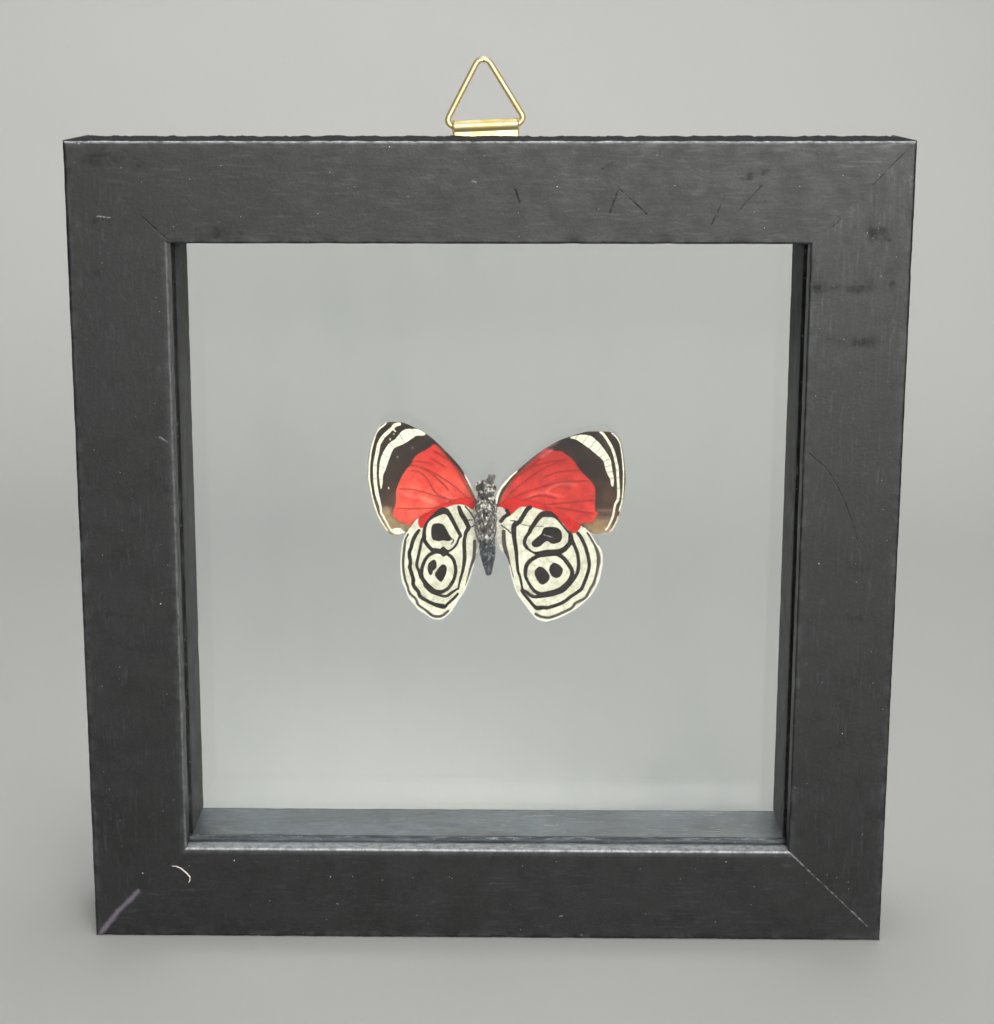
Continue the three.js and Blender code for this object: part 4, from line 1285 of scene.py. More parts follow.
# %% Markings of the right forewing
MARKS["forewing_right"] = {
    "red": [
        [(1.6, 4.6), (2, 6), (3.2, 8.4), (5.2, 10.6), (7.2, 12.4), (9.1, 14.15), (9.7, 14.1),
            (10.6, 13.9), (11.5, 13.8), (12.1, 13.5), (13.6, 12.3), (14.85, 10.5), (16.1, 9.3),
            (17.1, 7.9), (17.2, 6.9), (17.15, 4.6), (17.3, 4), (17.6, 3.5), (17.2, 2.9), (17.1, 2.5),
            (16.8, 2.1), (16, 2), (15.3, 2.05), (13, 0.8), (8, 1.8), (3, 3)],
    ],
    "pale": [
        (0.42, [(17.9, 16.9, 0.35), (18.5, 16.4), (19.85, 14.15), (20.6, 11.4, 0.45), (20.8, 9.3),
            (20.95, 6.9), (20.8, 5.8), (20.4, 5, 0.35), (20.1, 3.2, 0.35), (19.5, 1.7, 0.3),
            (19, 0.9, 0.3)]),
        (0.2, [(19.7, 16.75), (20.4, 16.2), (20.9, 15.4), (21.2, 14.45), (21.55, 12), (21.7, 9.6),
            (21.55, 6.1), (21.1, 4)]),
        (0.2, [(20.9, 3.1), (20.65, 2.2), (20, 1), (19.6, 0.6)]),
        (0.4, [(1.2, 5.2, 0.3), (1.45, 6.6), (2, 7.8), (2.7, 8.6), (3.6, 9.7, 0.3), (4.5, 10.5, 0.2)]),
    ],
    "pale_patches": [
        [(13, 16), (14.1, 16.4), (15.15, 16.5), (16.1, 16.35), (16.8, 16), (18, 14.8), (19.2, 13.1),
            (19.6, 12.3), (19.9, 10.5), (20.1, 9.6), (20.15, 8.7), (20, 8), (19.7, 8.4), (19.55, 9.3),
            (19.2, 9.9), (18.8, 10.8), (18.6, 11.7), (18.2, 12.5), (16.8, 13.7), (16.1, 14.3),
            (14.2, 15.6)],
    ],
    "vein": [
        (0.13, [(13.4, 15.3), (14.6, 16.8)]), (0.13, [(14.9, 14.9), (16.2, 16.7)]),
        (0.14, [(16.1, 14.2), (17.7, 16.3)]), (0.13, [(17, 13.4), (18.9, 15.4)]),
        (0.13, [(17.8, 12.8), (19.9, 14.4)]), (0.15, [(18.3, 12), (20.6, 13.1)]),
        (0.13, [(18.6, 11.2), (20.9, 12)]), (0.14, [(18.9, 10.3), (21.2, 10.8)]),
        (0.13, [(19.4, 9.3), (21.5, 9.6)]), (0.13, [(20, 7.6), (21.5, 7.8)]),
        (0.13, [(20.2, 6), (21.5, 6.1)]),
    ],
    "ash": [
        (0.35, [(4, 10.2), (6.5, 12.3), (9, 14.2)]), (0.3, [(8.4, 12.8), (10.2, 14.1)]),
    ],
    "brown": [
        (0.22, [(1.7, 5.3), (2.3, 6.7), (3, 7.9), (3.8, 9)]), (0.35, [(9.3, 14.4), (11, 15.2)]),
        (0.5, [(17.8, 4.1), (19.8, 4.1)]), (0.5, [(17.6, 2.9), (19.4, 2.9)]),
    ],
    "tan": [
        [(17.3, 2.7), (18.5, 2.7), (19.6, 2.6), (19.9, 1.4), (19.3, 0.2), (17.2, -0.4), (16.2, 0.8),
            (15.6, 1.8), (16.9, 2)],
    ],
    "crease": [
        (0.13, [(3.4, 6.8), (7, 9.8), (10.5, 11.8), (12.6, 12.6)]),
        (0.13, [(3.4, 6), (7.5, 7.6), (11.5, 8.7), (15.8, 9)]),
        (0.13, [(3.6, 5.2), (8, 5), (12.5, 5.3), (16.9, 5.8)]),
        (0.16, [(9, 9.6), (11.3, 10.4), (14.2, 10.7), (17, 10.7)]),
        (0.25, [(6, 5.9), (7, 6.3), (8.2, 6.5), (9.5, 6.4), (10.8, 6.1)]), (0.18, [(11, 4.5), (17, 3.6)]),
        (0.14, [(5.5, 10.8), (8, 11.6), (10.5, 12.2), (12.5, 12.3)]),
        (0.3, [(3, 7.8), (4.5, 9.6), (6.5, 11.1), (8.5, 12.9)]),
    ],
    "sheen": [
        (0.3, [(6.2, 6.1), (7.3, 6.75), (8.8, 7), (12, 6.4)]),
        (0.5, [(9.2, 7.1), (10, 7.8), (11, 8.4), (12.5, 8.5), (14, 8.2)]),
    ],
}
count_marks("forewing_right")

# %% [markdown]
# The upper side faces the back pane. It is black, with a metallic blue-green band on each wing
# and a small white bar near the tip of the forewing. These strokes give where they lie.

# %% Markings of the upper side
GLEAM = {
    "forewing_left": [(3.4, [(-4, 6), (-7.5, 7.6), (-11, 7.4), (-14.5, 4.4), (-15.8, 2.6, 2)])],
    "forewing_right": [(3.4, [(3.6, 5.8), (7.5, 7.4), (11.5, 7.2), (15.6, 4.6), (17.6, 2.8, 2)])],
    "hindwing_left": [(1.3, [(-12.9, -3.2, 0.6), (-12.4, -6.5), (-11, -9.6), (-8.6, -12),
                             (-6.6, -11.9, 0.6)])],
    "hindwing_right": [(1.3, [(17, -3.2, 0.6), (16.3, -6.8), (14.6, -9.8), (11.6, -12.2),
                              (8.6, -12.6, 0.6)])],
}
TIP_BAR = {
    "forewing_left": [(1, [(-13.2, 17, 0.4), (-14.6, 15.6), (-15.6, 14, 0.4)])],
    "forewing_right": [(1, [(15.4, 16.2, 0.4), (17, 15), (18.2, 13.4, 0.4)])],
    "hindwing_left": [],
    "hindwing_right": [],
}
print(len(GLEAM), "gleaming bands")

# %% [markdown]
# Wing scales lie like roof tiles and scatter light, so the membrane is matt, with a fine
# powdery grain. The finishes read the distances kept in the mesh. A little noise added to a
# distance makes the edge of a marking as uneven as rows of scales make it.

# %% Scales and markings
SCALE_SIZE = 0.16


def edge_of(finish, name, soft=0.05, ragged=0.10, shift=0.0):
    """1 inside a marking and 0 outside, with a slightly uneven edge."""
    uneven = finish.math("MULTIPLY", finish.math("SUBTRACT", finish.noise(0.28, 3, 0.7), 0.5), ragged * 2)
    inside = finish.math("ADD", finish.mark(name), uneven)
    return finish.ramp(inside, shift - soft, shift + soft)


def laid_over(finish, colour, name, paint, strength=1.0, *edge):
    """The colour with one kind of marking over it. Edge is how soft, ragged and shifted it is."""
    cover = edge_of(finish, name, *edge)
    if strength < 1:
        cover = finish.math("MULTIPLY", cover, strength)
    return finish.mix(cover, colour, paint)


def powder(finish, colour):
    """The grain of single scales: each a little lighter or darker than the next."""
    scales = finish.cells(SCALE_SIZE, output="Color")
    grey = finish.vector("DOT_PRODUCT", scales, (0.333, 0.333, 0.333))
    return finish.mix(0.35, colour, finish.mix(grey, "#000000", "#ffffff"), "SOFT_LIGHT")


def scaly(finish, colour, **shader):
    """Sets the powdery colour and the relief of the scales, and gives the finished material."""
    finish.set(Base_Color=powder(finish, colour), **shader)
    finish.bump(finish.cells(SCALE_SIZE), 0.02)
    print(finish.material.name, len(finish.tree.nodes), "nodes")
    return finish.material


print("scales", SCALE_SIZE, "mm wide")

# %% [markdown]
# The hindwing's underside is cream, dusky near the body, with a red front edge. The layers go
# on in the order of the list: cream, dusk, veins, red, brown, black, pale, and last the light
# fringe at the rim.

# %% Finish of the hindwings' undersides
def hindwing_under():
    """Cream, red and near-black scales, as the kept distances say."""
    scales = Finish("hindwing_underside")
    cloud = scales.noise(1.3, 4, 0.6)
    red = scales.fade(scales.noise(0.8, 3), 0.35, 0.65, "#900e0b", "#a81812")
    dark = scales.fade(cloud, 0.3, 0.7, "#0a0706", "#1a120e")
    colour = scales.fade(cloud, 0.35, 0.7, "#bab9a6", "#9c9a87")
    spotty = scales.ramp(scales.noise(0.5, 4, 0.7), 0.35, 0.65, 0.2, 0.8)
    dusk = scales.math("MULTIPLY", edge_of(scales, "dusk", 0.7, 0.4), spotty)
    colour = scales.mix(dusk, colour, "#82787c")
    colour = laid_over(scales, colour, "vein", "#8f8c80", 0.55, 0.06, 0.06)
    colour = laid_over(scales, colour, "red", red)
    colour = laid_over(scales, colour, "brown", "#241c18", 0.95, 0.07, 0.12, -0.09)
    colour = laid_over(scales, colour, "dark", dark, 1.0, 0.06, 0.12, -0.07)
    colour = laid_over(scales, colour, "pale", "#cfccbe")
    colour = scales.mix(scales.ramp(scales.mark("rim"), 0.10, 0.02), colour, "#cfcdc4")
    return scaly(scales, colour, Roughness=0.75, Specular_IOR_Level=0.08, Sheen_Weight=0.03,
                  Sheen_Roughness=0.4)


hindwing_scales = hindwing_under()

# %% [markdown]
# The forewing's underside is blackish, browner towards its lower end, with a large red field.
# The left wing faces the light more than the right, so the two share a recipe and each has its
# own pair of reds: the left one's lighter reds and the right one's darker reds are painted light
# and shade. Folds in the field get painted shade as dark red lines, beside painted highlights,
# paler strokes where light catches them.

# %% Finishes of the forewings' undersides
def red_field(scales, cloud, deep, light):
    """The red, deeper towards the front edge, with painted shade along its folds and painted highlights
    beside them.
    """
    high = scales.math("MULTIPLY", scales.ramp(scales.axis("Z"), HALF + 6, HALF + 14), 0.85)
    red = scales.mix(high, scales.fade(cloud, 0.25, 0.75, deep, light), deep)
    # Dark red painted shade along the folds.
    red = laid_over(scales, red, "crease", "#6a0f0c", 0.8, 0.12, 0.08, -0.05)
    # Pale pink painted highlights where light catches the folds.
    return laid_over(scales, red, "sheen", "#f5a08e", 0.10, 0.2, 0.3)


def forewing_under(name, deep, light):
    """Near-black and brown scales, a tan corner, a red field and the pale bands."""
    scales = Finish(name)
    cloud = scales.noise(2.0, 4, 0.6)
    low = scales.ramp(scales.axis("Z"), HALF + 11, HALF + 3)
    brown = scales.fade(cloud, 0.3, 0.7, "#2f1f14", "#4a3322")
    colour = scales.mix(low, scales.fade(cloud, 0.3, 0.7, "#110b07", "#271a12"), brown)
    tan = scales.mix(scales.noise(0.8, 3), "#463521", "#98815f")
    colour = laid_over(scales, colour, "tan", tan, 0.9, 0.5, 0.5)
    red = red_field(scales, cloud, deep, light)
    colour = laid_over(scales, colour, "red", red, 1.0, 0.10, 0.16)
    colour = laid_over(scales, colour, "brown", "#55443b", 0.8)
    colour = laid_over(scales, colour, "ash", "#b08d86", 0.25, 0.2, 0.7)
    colour = laid_over(scales, colour, "pale", "#c0beaa", 1.0, 0.05, 0.12)
    colour = laid_over(scales, colour, "vein", "#1d1714", 0.6, 0.08, 0.16, -0.01)
    colour = scales.mix(scales.ramp(scales.mark("rim"), 0.10, 0.03, 0, 0.7), colour, "#9d968b")
    return scaly(scales, colour, Roughness=0.7, Specular_IOR_Level=0.1, Sheen_Weight=0.04,
                  Sheen_Roughness=0.4)


# The left pair of reds is lighter and the right pair darker: painted light and shade on one red.
red_left = forewing_under("forewing_underside_left", "#a0221a", "#c24f3c")
red_right = forewing_under("forewing_underside_right", "#8a1d18", "#b42e24")

# %% [markdown]
# The upper side's band gleams because its scales are ribbed and split the light. A thin-film
# shader could show that. A half-metallic blue-green that is smoother than the matt black round
# it reads the same at this size, and survives an export.

# %% Finish of the wings' upper sides
def upper_side():
    """Matt black scales with a metallic band and a white bar."""
    scales = Finish("wing_upperside")
    cloud = scales.noise(1.5, 4, 0.6)
    gleam = edge_of(scales, "gleam", 0.35, 0.3)
    colour = scales.fade(cloud, 0.3, 0.7, "#0e0c0c", "#1e1917")
    colour = scales.mix(gleam, colour, scales.fade(cloud, 0.3, 0.7, "#1c6f8c", "#2fa6a0"))
    colour = laid_over(scales, colour, "tip_bar", "#e9e6df", 1.0, 0.12, 0.2)
    colour = scales.mix(scales.ramp(scales.mark("rim"), 0.14, 0.03, 0, 0.8), colour, "#c9c2b6")
    return scaly(scales, colour, Roughness=scales.ramp(gleam, 0, 1, 0.7, 0.35),
                  Metallic=scales.math("MULTIPLY", gleam, 0.8), Specular_IOR_Level=0.3)


upper_scales = upper_side()

# %% [markdown]
# Each wing rises from its root towards the front pane, the left pair more than the right. The
# mesh is cut from a jittered grid by Delaunay triangulation, which follows the outline and
# keeps the triangles even. A subdivided plane could be cut to the outline instead, but its
# edge would be stepped.

# %% Shape of a wing
RISE = {"left": (-1.5, 0.27, -0.004), "right": (1.0, 0.02, 0.002)}
LEAN_UP, LEAN_IN = 0.2, 0.03
WING_DEPTH = {"forewing": 17.1 + 0.125, "hindwing": 16.3 + 0.125}
GRID = 0.14
ROW_SPACING = 0.866
NUDGE = {"forewing_left": (0.1, -0.1), "forewing_right": (0.1, -0.2)}


def on_wing(flat, depth, side):
    """Places flat wing points (x, z) in space, on the wing's rising surface."""
    root, slope, curl = RISE[side]
    sign = math.copysign(1, root)
    reach = np.clip(sign * flat[:, 0] - abs(root), 0, None)
    forward = slope * reach + curl * reach ** 2
    return np.column_stack([flat[:, 0] - sign * LEAN_IN * forward, depth - forward,
                            flat[:, 1] + LEAN_UP * forward])


def in_parts(points, measure, parts=12):
    """Measures the points a part at a time, which needs less memory."""
    return np.concatenate([measure(part) for part in np.array_split(points, parts)])


def cut_sheet(outline, spacing, rng):
    """Points and triangles inside a smooth outline. The outline's own points come first."""
    rim = smooth_line(outline, closed=True, spacing=0.2)[:-1]
    loop = np.vstack([rim, rim[:1]])
    low, high = rim.min(0), rim.max(0)
    rows = np.arange(low[1], high[1], spacing * ROW_SPACING)
    grid = np.array([(x + (spacing / 2 if r % 2 else 0), z) for r, z in enumerate(rows)
                     for x in np.arange(low[0], high[0], spacing)])
    grid += rng.uniform(-0.2, 0.2, grid.shape) * spacing
    grid = grid[is_inside(grid, loop)]
    gap = in_parts(grid, lambda part: to_line(part, loop)[0])
    points = np.vstack([rim, grid[gap > 0.45 * spacing]])
    ring = [(i, (i + 1) % len(rim)) for i in range(len(rim))]
    found = geometry.delaunay_2d_cdt([Vector(p) for p in points], ring, [], 1, 1e-7)
    return np.array([tuple(v) for v in found[0]]), [tuple(f) for f in found[2]], len(rim), loop


print("wing points every", GRID, "mm")

# %% [markdown]
# A fringe of short scales stands along the outer margin, and makes its edge look soft and a
# little ragged. Each scale is one narrow triangle, three to every step of the outline. Hair
# curves could do it too, but an export would lose them.

# %% Fringe of a wing
FRINGE_WIDTH = 0.07


def on_margin(kind, point):
    """Whether a point of the outline is on the outer margin, where the fringe stands."""
    x, z = abs(point[0]), point[1]
    if kind == "forewing":
        return x > 15.5
    return z < 1.2 and (x > 9 or z < -5)


def fringe(kind, side, rim_points, middle, rng):
    """Short flat scales that stand out along the margin. Returns points and faces."""
    points, faces = [], []
    for i in range(len(rim_points)):
        if not on_margin(kind, rim_points[i]):
            continue
        here, after = rim_points[i], rim_points[(i + 1) % len(rim_points)]
        run = (after - here) / max(np.linalg.norm(after - here), 1e-9)
        out = np.array([run[1], -run[0]])
        out *= 1 if np.dot(out, here - middle) > 0 else -1
        for share in (0.0, 0.33, 0.67):
            root = here + (after - here) * share - out * 0.05
            length, lean = rng.uniform(0.16, 0.3), rng.uniform(-0.25, 0.25)
            tip = root + out * length + run * lean * length
            half = run * (FRINGE_WIDTH / 2)
            flat = np.array([root - half, root + half, tip])
            start = len(points)
            points.extend(on_wing(flat, WING_DEPTH[kind] + rng.uniform(-0.03, 0.03), side))
            faces.append((start, start + 1, start + 2))
    return np.array(points), faces


print("fringe scales", FRINGE_WIDTH, "mm wide")

# %% [markdown]
# The mesh keeps one number per point for each kind of marking. Both sides of the wing keep all
# of them, and each finish reads what it needs.

# %% Distances kept on a wing
def wing_fields(name, flat, loop):
    """Every distance that the finishes of a wing read, for each point of its mesh."""
    marks = MARKS[name]
    kind = name.split("_")[0]
    margin = np.array([point for point in loop[:-1] if on_margin(kind, point)])

    def field(strokes, measure=stroke_field):
        return in_parts(flat, lambda part: measure(part, strokes))

    def with_patches(key):
        patches = field(marks.get(key + "_patches", []), patch_field)
        return np.maximum(field(marks.get(key, [])), patches)

    fields = {
        "dark": with_patches("dark"),
        "pale": with_patches("pale"),
        "red": field(marks["red"], patch_field),
        "tan": field(marks.get("tan", []), patch_field),
        "rim": in_parts(flat, lambda part: to_line(part, margin)[0]),
        "gleam": field(GLEAM[name]),
        "tip_bar": field(TIP_BAR[name]),
    }
    for key in ("brown", "dusk", "crease", "sheen", "vein", "ash"):
        fields[key] = field(marks.get(key, []))
    return fields


print(len(MARKS), "wings can be measured")

# %% [markdown]
# A wing has a front skin, a back skin and a thin rim between them. It is thinnest at the
# margin. Folds and a soft ripple lift the membrane by up to a tenth of a millimetre or so. The
# front skin gets the underside's finish, because the specimen was set with its underside out.

# %% Build the four wings
RIM_THICKNESS, FULL_THICKNESS = 0.02, 0.08
UNDER = {"hindwing_left": hindwing_scales, "hindwing_right": hindwing_scales,
         "forewing_left": red_left, "forewing_right": red_right}


def add_wing(name):
    """One wing, with its fringe and the distances that its finishes read."""
    kind, side = name.split("_")
    rng = np.random.default_rng(len(name) * 7 + ord(side[0]))
    flat, triangles, rim_count, loop = cut_sheet(OUTLINES[name], GRID, rng)
    fields = wing_fields(name, flat, loop)
    ripple = np.array([noise.noise(Vector((x / 2.4, z / 2.4, 3.0 if kind == "forewing" else 8.0)))
                       for x, z in flat])
    lift = 0.07 * np.exp(-np.clip(-fields["crease"], 0, 9) / 0.25) + 0.06 * ripple
    inward = in_parts(flat, lambda part: to_line(part, loop)[0])
    thick = RIM_THICKNESS + (FULL_THICKNESS - RIM_THICKNESS) * np.clip(inward / 0.8, 0, 1)
    laid = flat + np.array(NUDGE.get(name, (0, 0)))
    middle = on_wing(laid, WING_DEPTH[kind], side)
    front = middle - np.column_stack([0 * lift, lift + thick / 2, 0 * lift])
    back = middle - np.column_stack([0 * lift, lift - thick / 2, 0 * lift])
    count = len(flat)
    hairs, hair_faces = fringe(kind, side, laid[:rim_count], loop[:-1].mean(0), rng)
    faces = list(triangles) + [tuple(count + i for i in reversed(f)) for f in triangles]
    faces += [(i, count + i, count + (i + 1) % rim_count, (i + 1) % rim_count) for i in range(rim_count)]
    faces += [tuple(2 * count + i for i in f) for f in hair_faces]
    which = [0] * len(triangles) + [1] * len(triangles) + [0] * (rim_count + len(hair_faces))
    wing = add_piece(side + "_" + kind, np.vstack([front, back, hairs]), faces,
                     [UNDER[name], upper_scales], kind + "_scales", [name], face_finish=which)
    for key, values in fields.items():
        beyond = 0.0 if key == "rim" else FAR
        mark_points(wing, key, np.r_[values, values, np.full(len(hairs), beyond)])


for name in OUTLINES:
    add_wing(name)

# %% [markdown]
# The body grew as one piece: head, eyes, palps, thorax, abdomen and folded legs. Its masses
# are simple rounded forms melted into one skin by a voxel remesh, as a sculptor would join
# lumps of clay. It is modelled in millimetres, because the remesh works better at that scale.

# %% Masses of the body
BODY_DEPTH = 14.9
THORAX_MIDDLE = (-0.4, BODY_DEPTH, 4.1)


def ball(radii, middle, rows=20):
    """A ball with three radii, as points and faces, which are sorted to keep one order."""
    mesh = bmesh.new()
    bmesh.ops.create_uvsphere(mesh, u_segments=2 * rows, v_segments=rows, radius=1)
    points = [Vector(a * b for a, b in zip(v.co, radii)) + Vector(middle) for v in mesh.verts]
    faces = sorted([v.index for v in f.verts] for f in mesh.faces)
    mesh.free()
    return [tuple(p) for p in points], faces


def tube(line, radii, sides=10):
    """A closed tube through (x, depth, z) points with a radius at each."""
    line = np.asarray(line, float)
    points = []
    for point, direction, radius in zip(line, directions(line), radii):
        side = np.cross(direction, [0.3, 1.0, 0.2])
        side /= np.linalg.norm(side)
        other = np.cross(direction, side)
        points += [tuple(point + radius * (cos * side + sin * other)) for cos, sin in around(sides)]
    return points, faces_between(len(line), sides) + end_faces(len(line), sides)


def joined(parts):
    """Several meshes as one list of points and one of faces."""
    points, faces = [], []
    for part_points, part_faces in parts:
        faces += [[len(points) + i for i in face] for face in part_faces]
        points += list(part_points)
    return points, faces


def abdomen():
    """A tapering tail of seven rings, leaning a little to the right as it goes down."""
    rows = 57
    t = np.linspace(0, 1, rows)
    knots = (0.0, 0.14, 0.27, 0.39, 0.52, 0.64, 0.77, 0.89, 0.97, 1.0)
    swell = np.interp(t, knots, (0.85, 1.08, 1.2, 1.27, 1.22, 1.06, 0.8, 0.55, 0.4, 0.1))
    radii = swell * (1 - 0.05 * np.abs(np.sin(math.pi * t * 7.2)) ** 0.4)
    line = np.column_stack([-0.27 + 0.4 * t, np.full(rows, BODY_DEPTH), 1.6 - 7.95 * t])
    return tube(line, radii, 24)


thorax = ball((1.38, 1.7, 3.2), THORAX_MIDDLE)
head = ball((1.45, 1.1, 0.95), (-0.42, 14.6, 8.15))
neck = ball((1.15, 1.2, 1.0), (-0.4, 14.8, 6.9))
masses = joined([thorax, head, neck, abdomen()])
print(len(masses[0]), "points in the masses")

# %% [markdown]
# The voxel remesh and a light smoothing are modifiers. They are applied here by taking the
# evaluated mesh, because the hairs that follow have to grow from the finished skin.

# %% One skin for the body
def melted(points, faces, voxel, smoothing):
    """Joins masses into one closed skin. Points stay in millimetres."""
    mesh = bpy.data.meshes.new("melt")
    mesh.from_pydata(points, [], faces)
    lump = bpy.data.objects.new("melt", mesh)
    bpy.context.scene.collection.objects.link(lump)
    remesh = lump.modifiers.new("remesh", "REMESH")
    remesh.mode, remesh.voxel_size = "VOXEL", voxel
    smooth = lump.modifiers.new("smooth", "SMOOTH")
    smooth.iterations = smoothing
    bpy.context.view_layer.update()
    made = lump.evaluated_get(bpy.context.evaluated_depsgraph_get()).to_mesh()
    out_points = np.array([v.co[:] for v in made.vertices])
    out_normals = np.array([v.normal[:] for v in made.vertices])
    out_faces = [tuple(p.vertices) for p in made.polygons]
    bpy.data.objects.remove(lump)
    bpy.data.meshes.remove(mesh)
    return out_points, out_normals, out_faces


skin, skin_normals, skin_faces = melted(*masses, voxel=0.13, smoothing=3)
lumps = roughness_at(skin, 0.55) + 0.6 * roughness_at(skin, 0.22)
LUMP_HEIGHT = 0.06
skin = skin + skin_normals * (LUMP_HEIGHT * lumps)[:, None]
print("skin", len(skin), "points")

# %% [markdown]
# Legs and palps are thin tubes that swell and narrow at their joints. The eyes are smooth
# domes, finely pitted like a real compound eye, and stand out at both sides of the head.

# %% Legs, palps and eyes
def leg_lines():
    """Three pairs of folded legs. Each line goes from hip to foot."""
    for side in (-1, 1):
        def x(offset):
            return THORAX_MIDDLE[0] + side * offset
        yield [(x(0.5), 13.4, 6.0), (x(1.5), 12.9, 4.9), (x(0.5), 12.9, 3.2), (x(0.3), 13.1, 1.9)]
        yield [(x(0.6), 13.3, 4.6), (x(1.75), 13.4, 3.4), (x(1.2), 13.0, 1.6), (x(0.6), 13.4, 0.2)]
        yield [(x(0.5), 13.3, 3.3), (x(1.6), 13.9, 2.2), (x(1.5), 13.7, 0.6), (x(0.9), 13.9, -0.9)]


def jointed(knots):
    """A leg: thick at the hip, thin at each joint and at the foot."""
    line = smooth_line(np.array(knots), spacing=0.12)
    t = np.linspace(0, 1, len(line))
    radii = 0.19 * (1 - 0.55 * t) * (1 - 0.25 * np.exp(-((t * 3) % 1 - 0.5) ** 2 * 30))
    return tube(line, radii, 8)


def palp(root, tip):
    """A feeler beside the mouth, thickest in its middle, from one x to another."""
    knots = [(root, 14.2, 8.4), ((root + tip) / 2, 13.75, 9.45), (tip, 13.9, 10.33)]
    line = smooth_line(np.array(knots), spacing=0.1)
    t = np.linspace(0, 1, len(line))
    return tube(line, 0.2 + 0.13 * np.sin(math.pi * np.clip(t * 1.1, 0, 1)), 10)


EYE_RADII = (0.5, 0.68, 0.62)
limbs = joined([jointed(knots) for knots in leg_lines()] + [palp(-0.3, 0.35), palp(0.35, 0.95)])
eyes = joined([ball(EYE_RADII, (x, 14.5, 8.15)) for x in (-1.5, 0.72)])
print(len(limbs[0]), "points in legs and palps")

# %% [markdown]
# The skin under the hair is dark and slightly waxy, bluish grey on the tail. The eyes are
# brown-black and glossy, and their facets come from a cell pattern in the bump.

# %% Finishes of the body
def body_skin():
    """Brown-grey skin that turns to blue-grey on the tail."""
    waxy = Finish("body_skin")
    colour = waxy.fade(waxy.noise(0.5, 4, 0.6), 0.35, 0.65, "#23211f", "#4d4a47")
    blue = waxy.fade(waxy.noise(0.35, 3), 0.35, 0.65, "#101215", "#2a3038")
    tail = waxy.ramp(waxy.axis("Z"), HALF + 1.0, HALF - 1.0)
    waxy.set(Base_Color=waxy.mix(tail, colour, blue), Roughness=0.55)
    waxy.bump(waxy.noise(0.12, 3), 0.05)
    return waxy.material


def eye_gloss():
    """Glossy brown-black with fine facets."""
    eye = Finish("compound_eye")
    colour = eye.fade(eye.noise(0.5, 3), 0.35, 0.65, "#1a100b", "#3c281b")
    eye.set(Base_Color=colour, Roughness=0.25, Coat_Weight=0.4)
    eye.bump(eye.cells(0.07), 0.015)
    return eye.material


body_points, body_faces = joined([(skin, skin_faces), limbs, eyes])
which = [0] * (len(skin_faces) + len(limbs[1])) + [1] * len(eyes[1])
add_piece("butterfly", body_points, body_faces, [body_skin(), eye_gloss()], "body_hair",
          ["butterfly_body"], face_finish=which)

# %% [markdown]
# Hair covers the head and thorax, and short flat scales the tail. Blender's own hair would not
# survive an export, so each hair is a narrow blade of three triangles, rooted at a random place
# on the skin. Its tone is kept in the mesh: black, grey, brown and white hairs stand in tufts.

# %% Blades of hair
def blades(roots, ways, lengths, widths, droop, rng):
    """Narrow pointed blades. Returns points and faces, five points to a blade."""
    ways = ways / np.linalg.norm(ways, axis=1)[:, None]
    side = np.cross(ways, rng.normal(size=ways.shape))
    side /= np.linalg.norm(side, axis=1)[:, None]
    middle = roots + ways * (lengths * 0.55)[:, None]
    tip = roots + (ways + droop) * lengths[:, None]
    half = side * (widths / 2)[:, None]
    waist = half * 0.8
    points = np.stack([roots - half, roots + half, middle + waist, middle - waist, tip], 1)
    start = np.arange(len(roots)) * 5
    quads = np.column_stack([start, start + 1, start + 2, start + 3])
    tips = np.column_stack([start + 3, start + 2, start + 4])
    return points.reshape(-1, 3), [tuple(f) for f in quads] + [tuple(f) for f in tips]


def random_roots(points, faces, count, rng):
    """Random places on a skin, spread by area, with the skin's direction outward."""
    triangles = np.array([(f[0], f[k], f[k + 1]) for f in faces for k in range(1, len(f) - 1)])
    a, b, c = (np.asarray(points)[triangles[:, k]] for k in range(3))
    cross = np.cross(b - a, c - a)
    area = np.linalg.norm(cross, axis=1)
    chosen = rng.choice(len(triangles), count, p=area / area.sum())
    u, v = rng.random(count), rng.random(count)
    flip = u + v > 1
    u[flip], v[flip] = 1 - u[flip], 1 - v[flip]
    place = a[chosen] + (b - a)[chosen] * u[:, None] + (c - a)[chosen] * v[:, None]
    return place, (cross / np.maximum(area, 1e-12)[:, None])[chosen]


print("hair can grow on", len(skin_faces) + len(limbs[1]), "faces")

# %% [markdown]
# Hairs near one another are alike, so the thorax looks tufted, with one dark patch on its left
# and one white band where it meets the tail. One shade for all hairs would be simpler, and
# would look like felt.

# %% Tones of hair
def tuft_tone(place, rng):
    """0 is black and 1 is white. Nearby hairs get nearly the same tone."""
    tuft = roughness_at(place, 0.38) + 0.5 * roughness_at(place, 1.1)
    value = np.clip(0.42 + 1.9 * tuft + rng.normal(0, 0.1, len(place)), 0, 1)
    dark_patch = np.exp(-((place[:, 0] + 0.6) ** 2 + (place[:, 2] - 1.3) ** 2) / 0.5)
    white_band = np.exp(-((place[:, 2] - 0.1) / 0.35) ** 2)
    return np.clip(value * (1 - 0.9 * dark_patch) + 0.6 * white_band, 0, 1)


def hair_finish():
    """Black through brown-grey to white by each hair's own tone, and blue-grey on the tail."""
    hair = Finish("body_hairs")
    shade = hair.mark("tone")
    colour = hair.fade(shade, 0.0, 0.5, "#0e0c0b", "#6d655e")
    colour = hair.mix(hair.ramp(shade, 0.5, 0.9), colour, "#ece8e0")
    blue = hair.fade(shade, 0.4, 0.95, "#13161a", "#87909b")
    tail = hair.ramp(hair.axis("Z"), HALF + 0.2, HALF - 0.8)
    hair.set(Base_Color=hair.mix(tail, colour, blue), Roughness=0.6, Sheen_Weight=0.05,
             Specular_IOR_Level=0.3)
    return hair.material


HAIRS = 13000
LIMB_HAIRS = HAIRS // 6
print(HAIRS, "hairs on the skin and", LIMB_HAIRS, "on legs and palps")

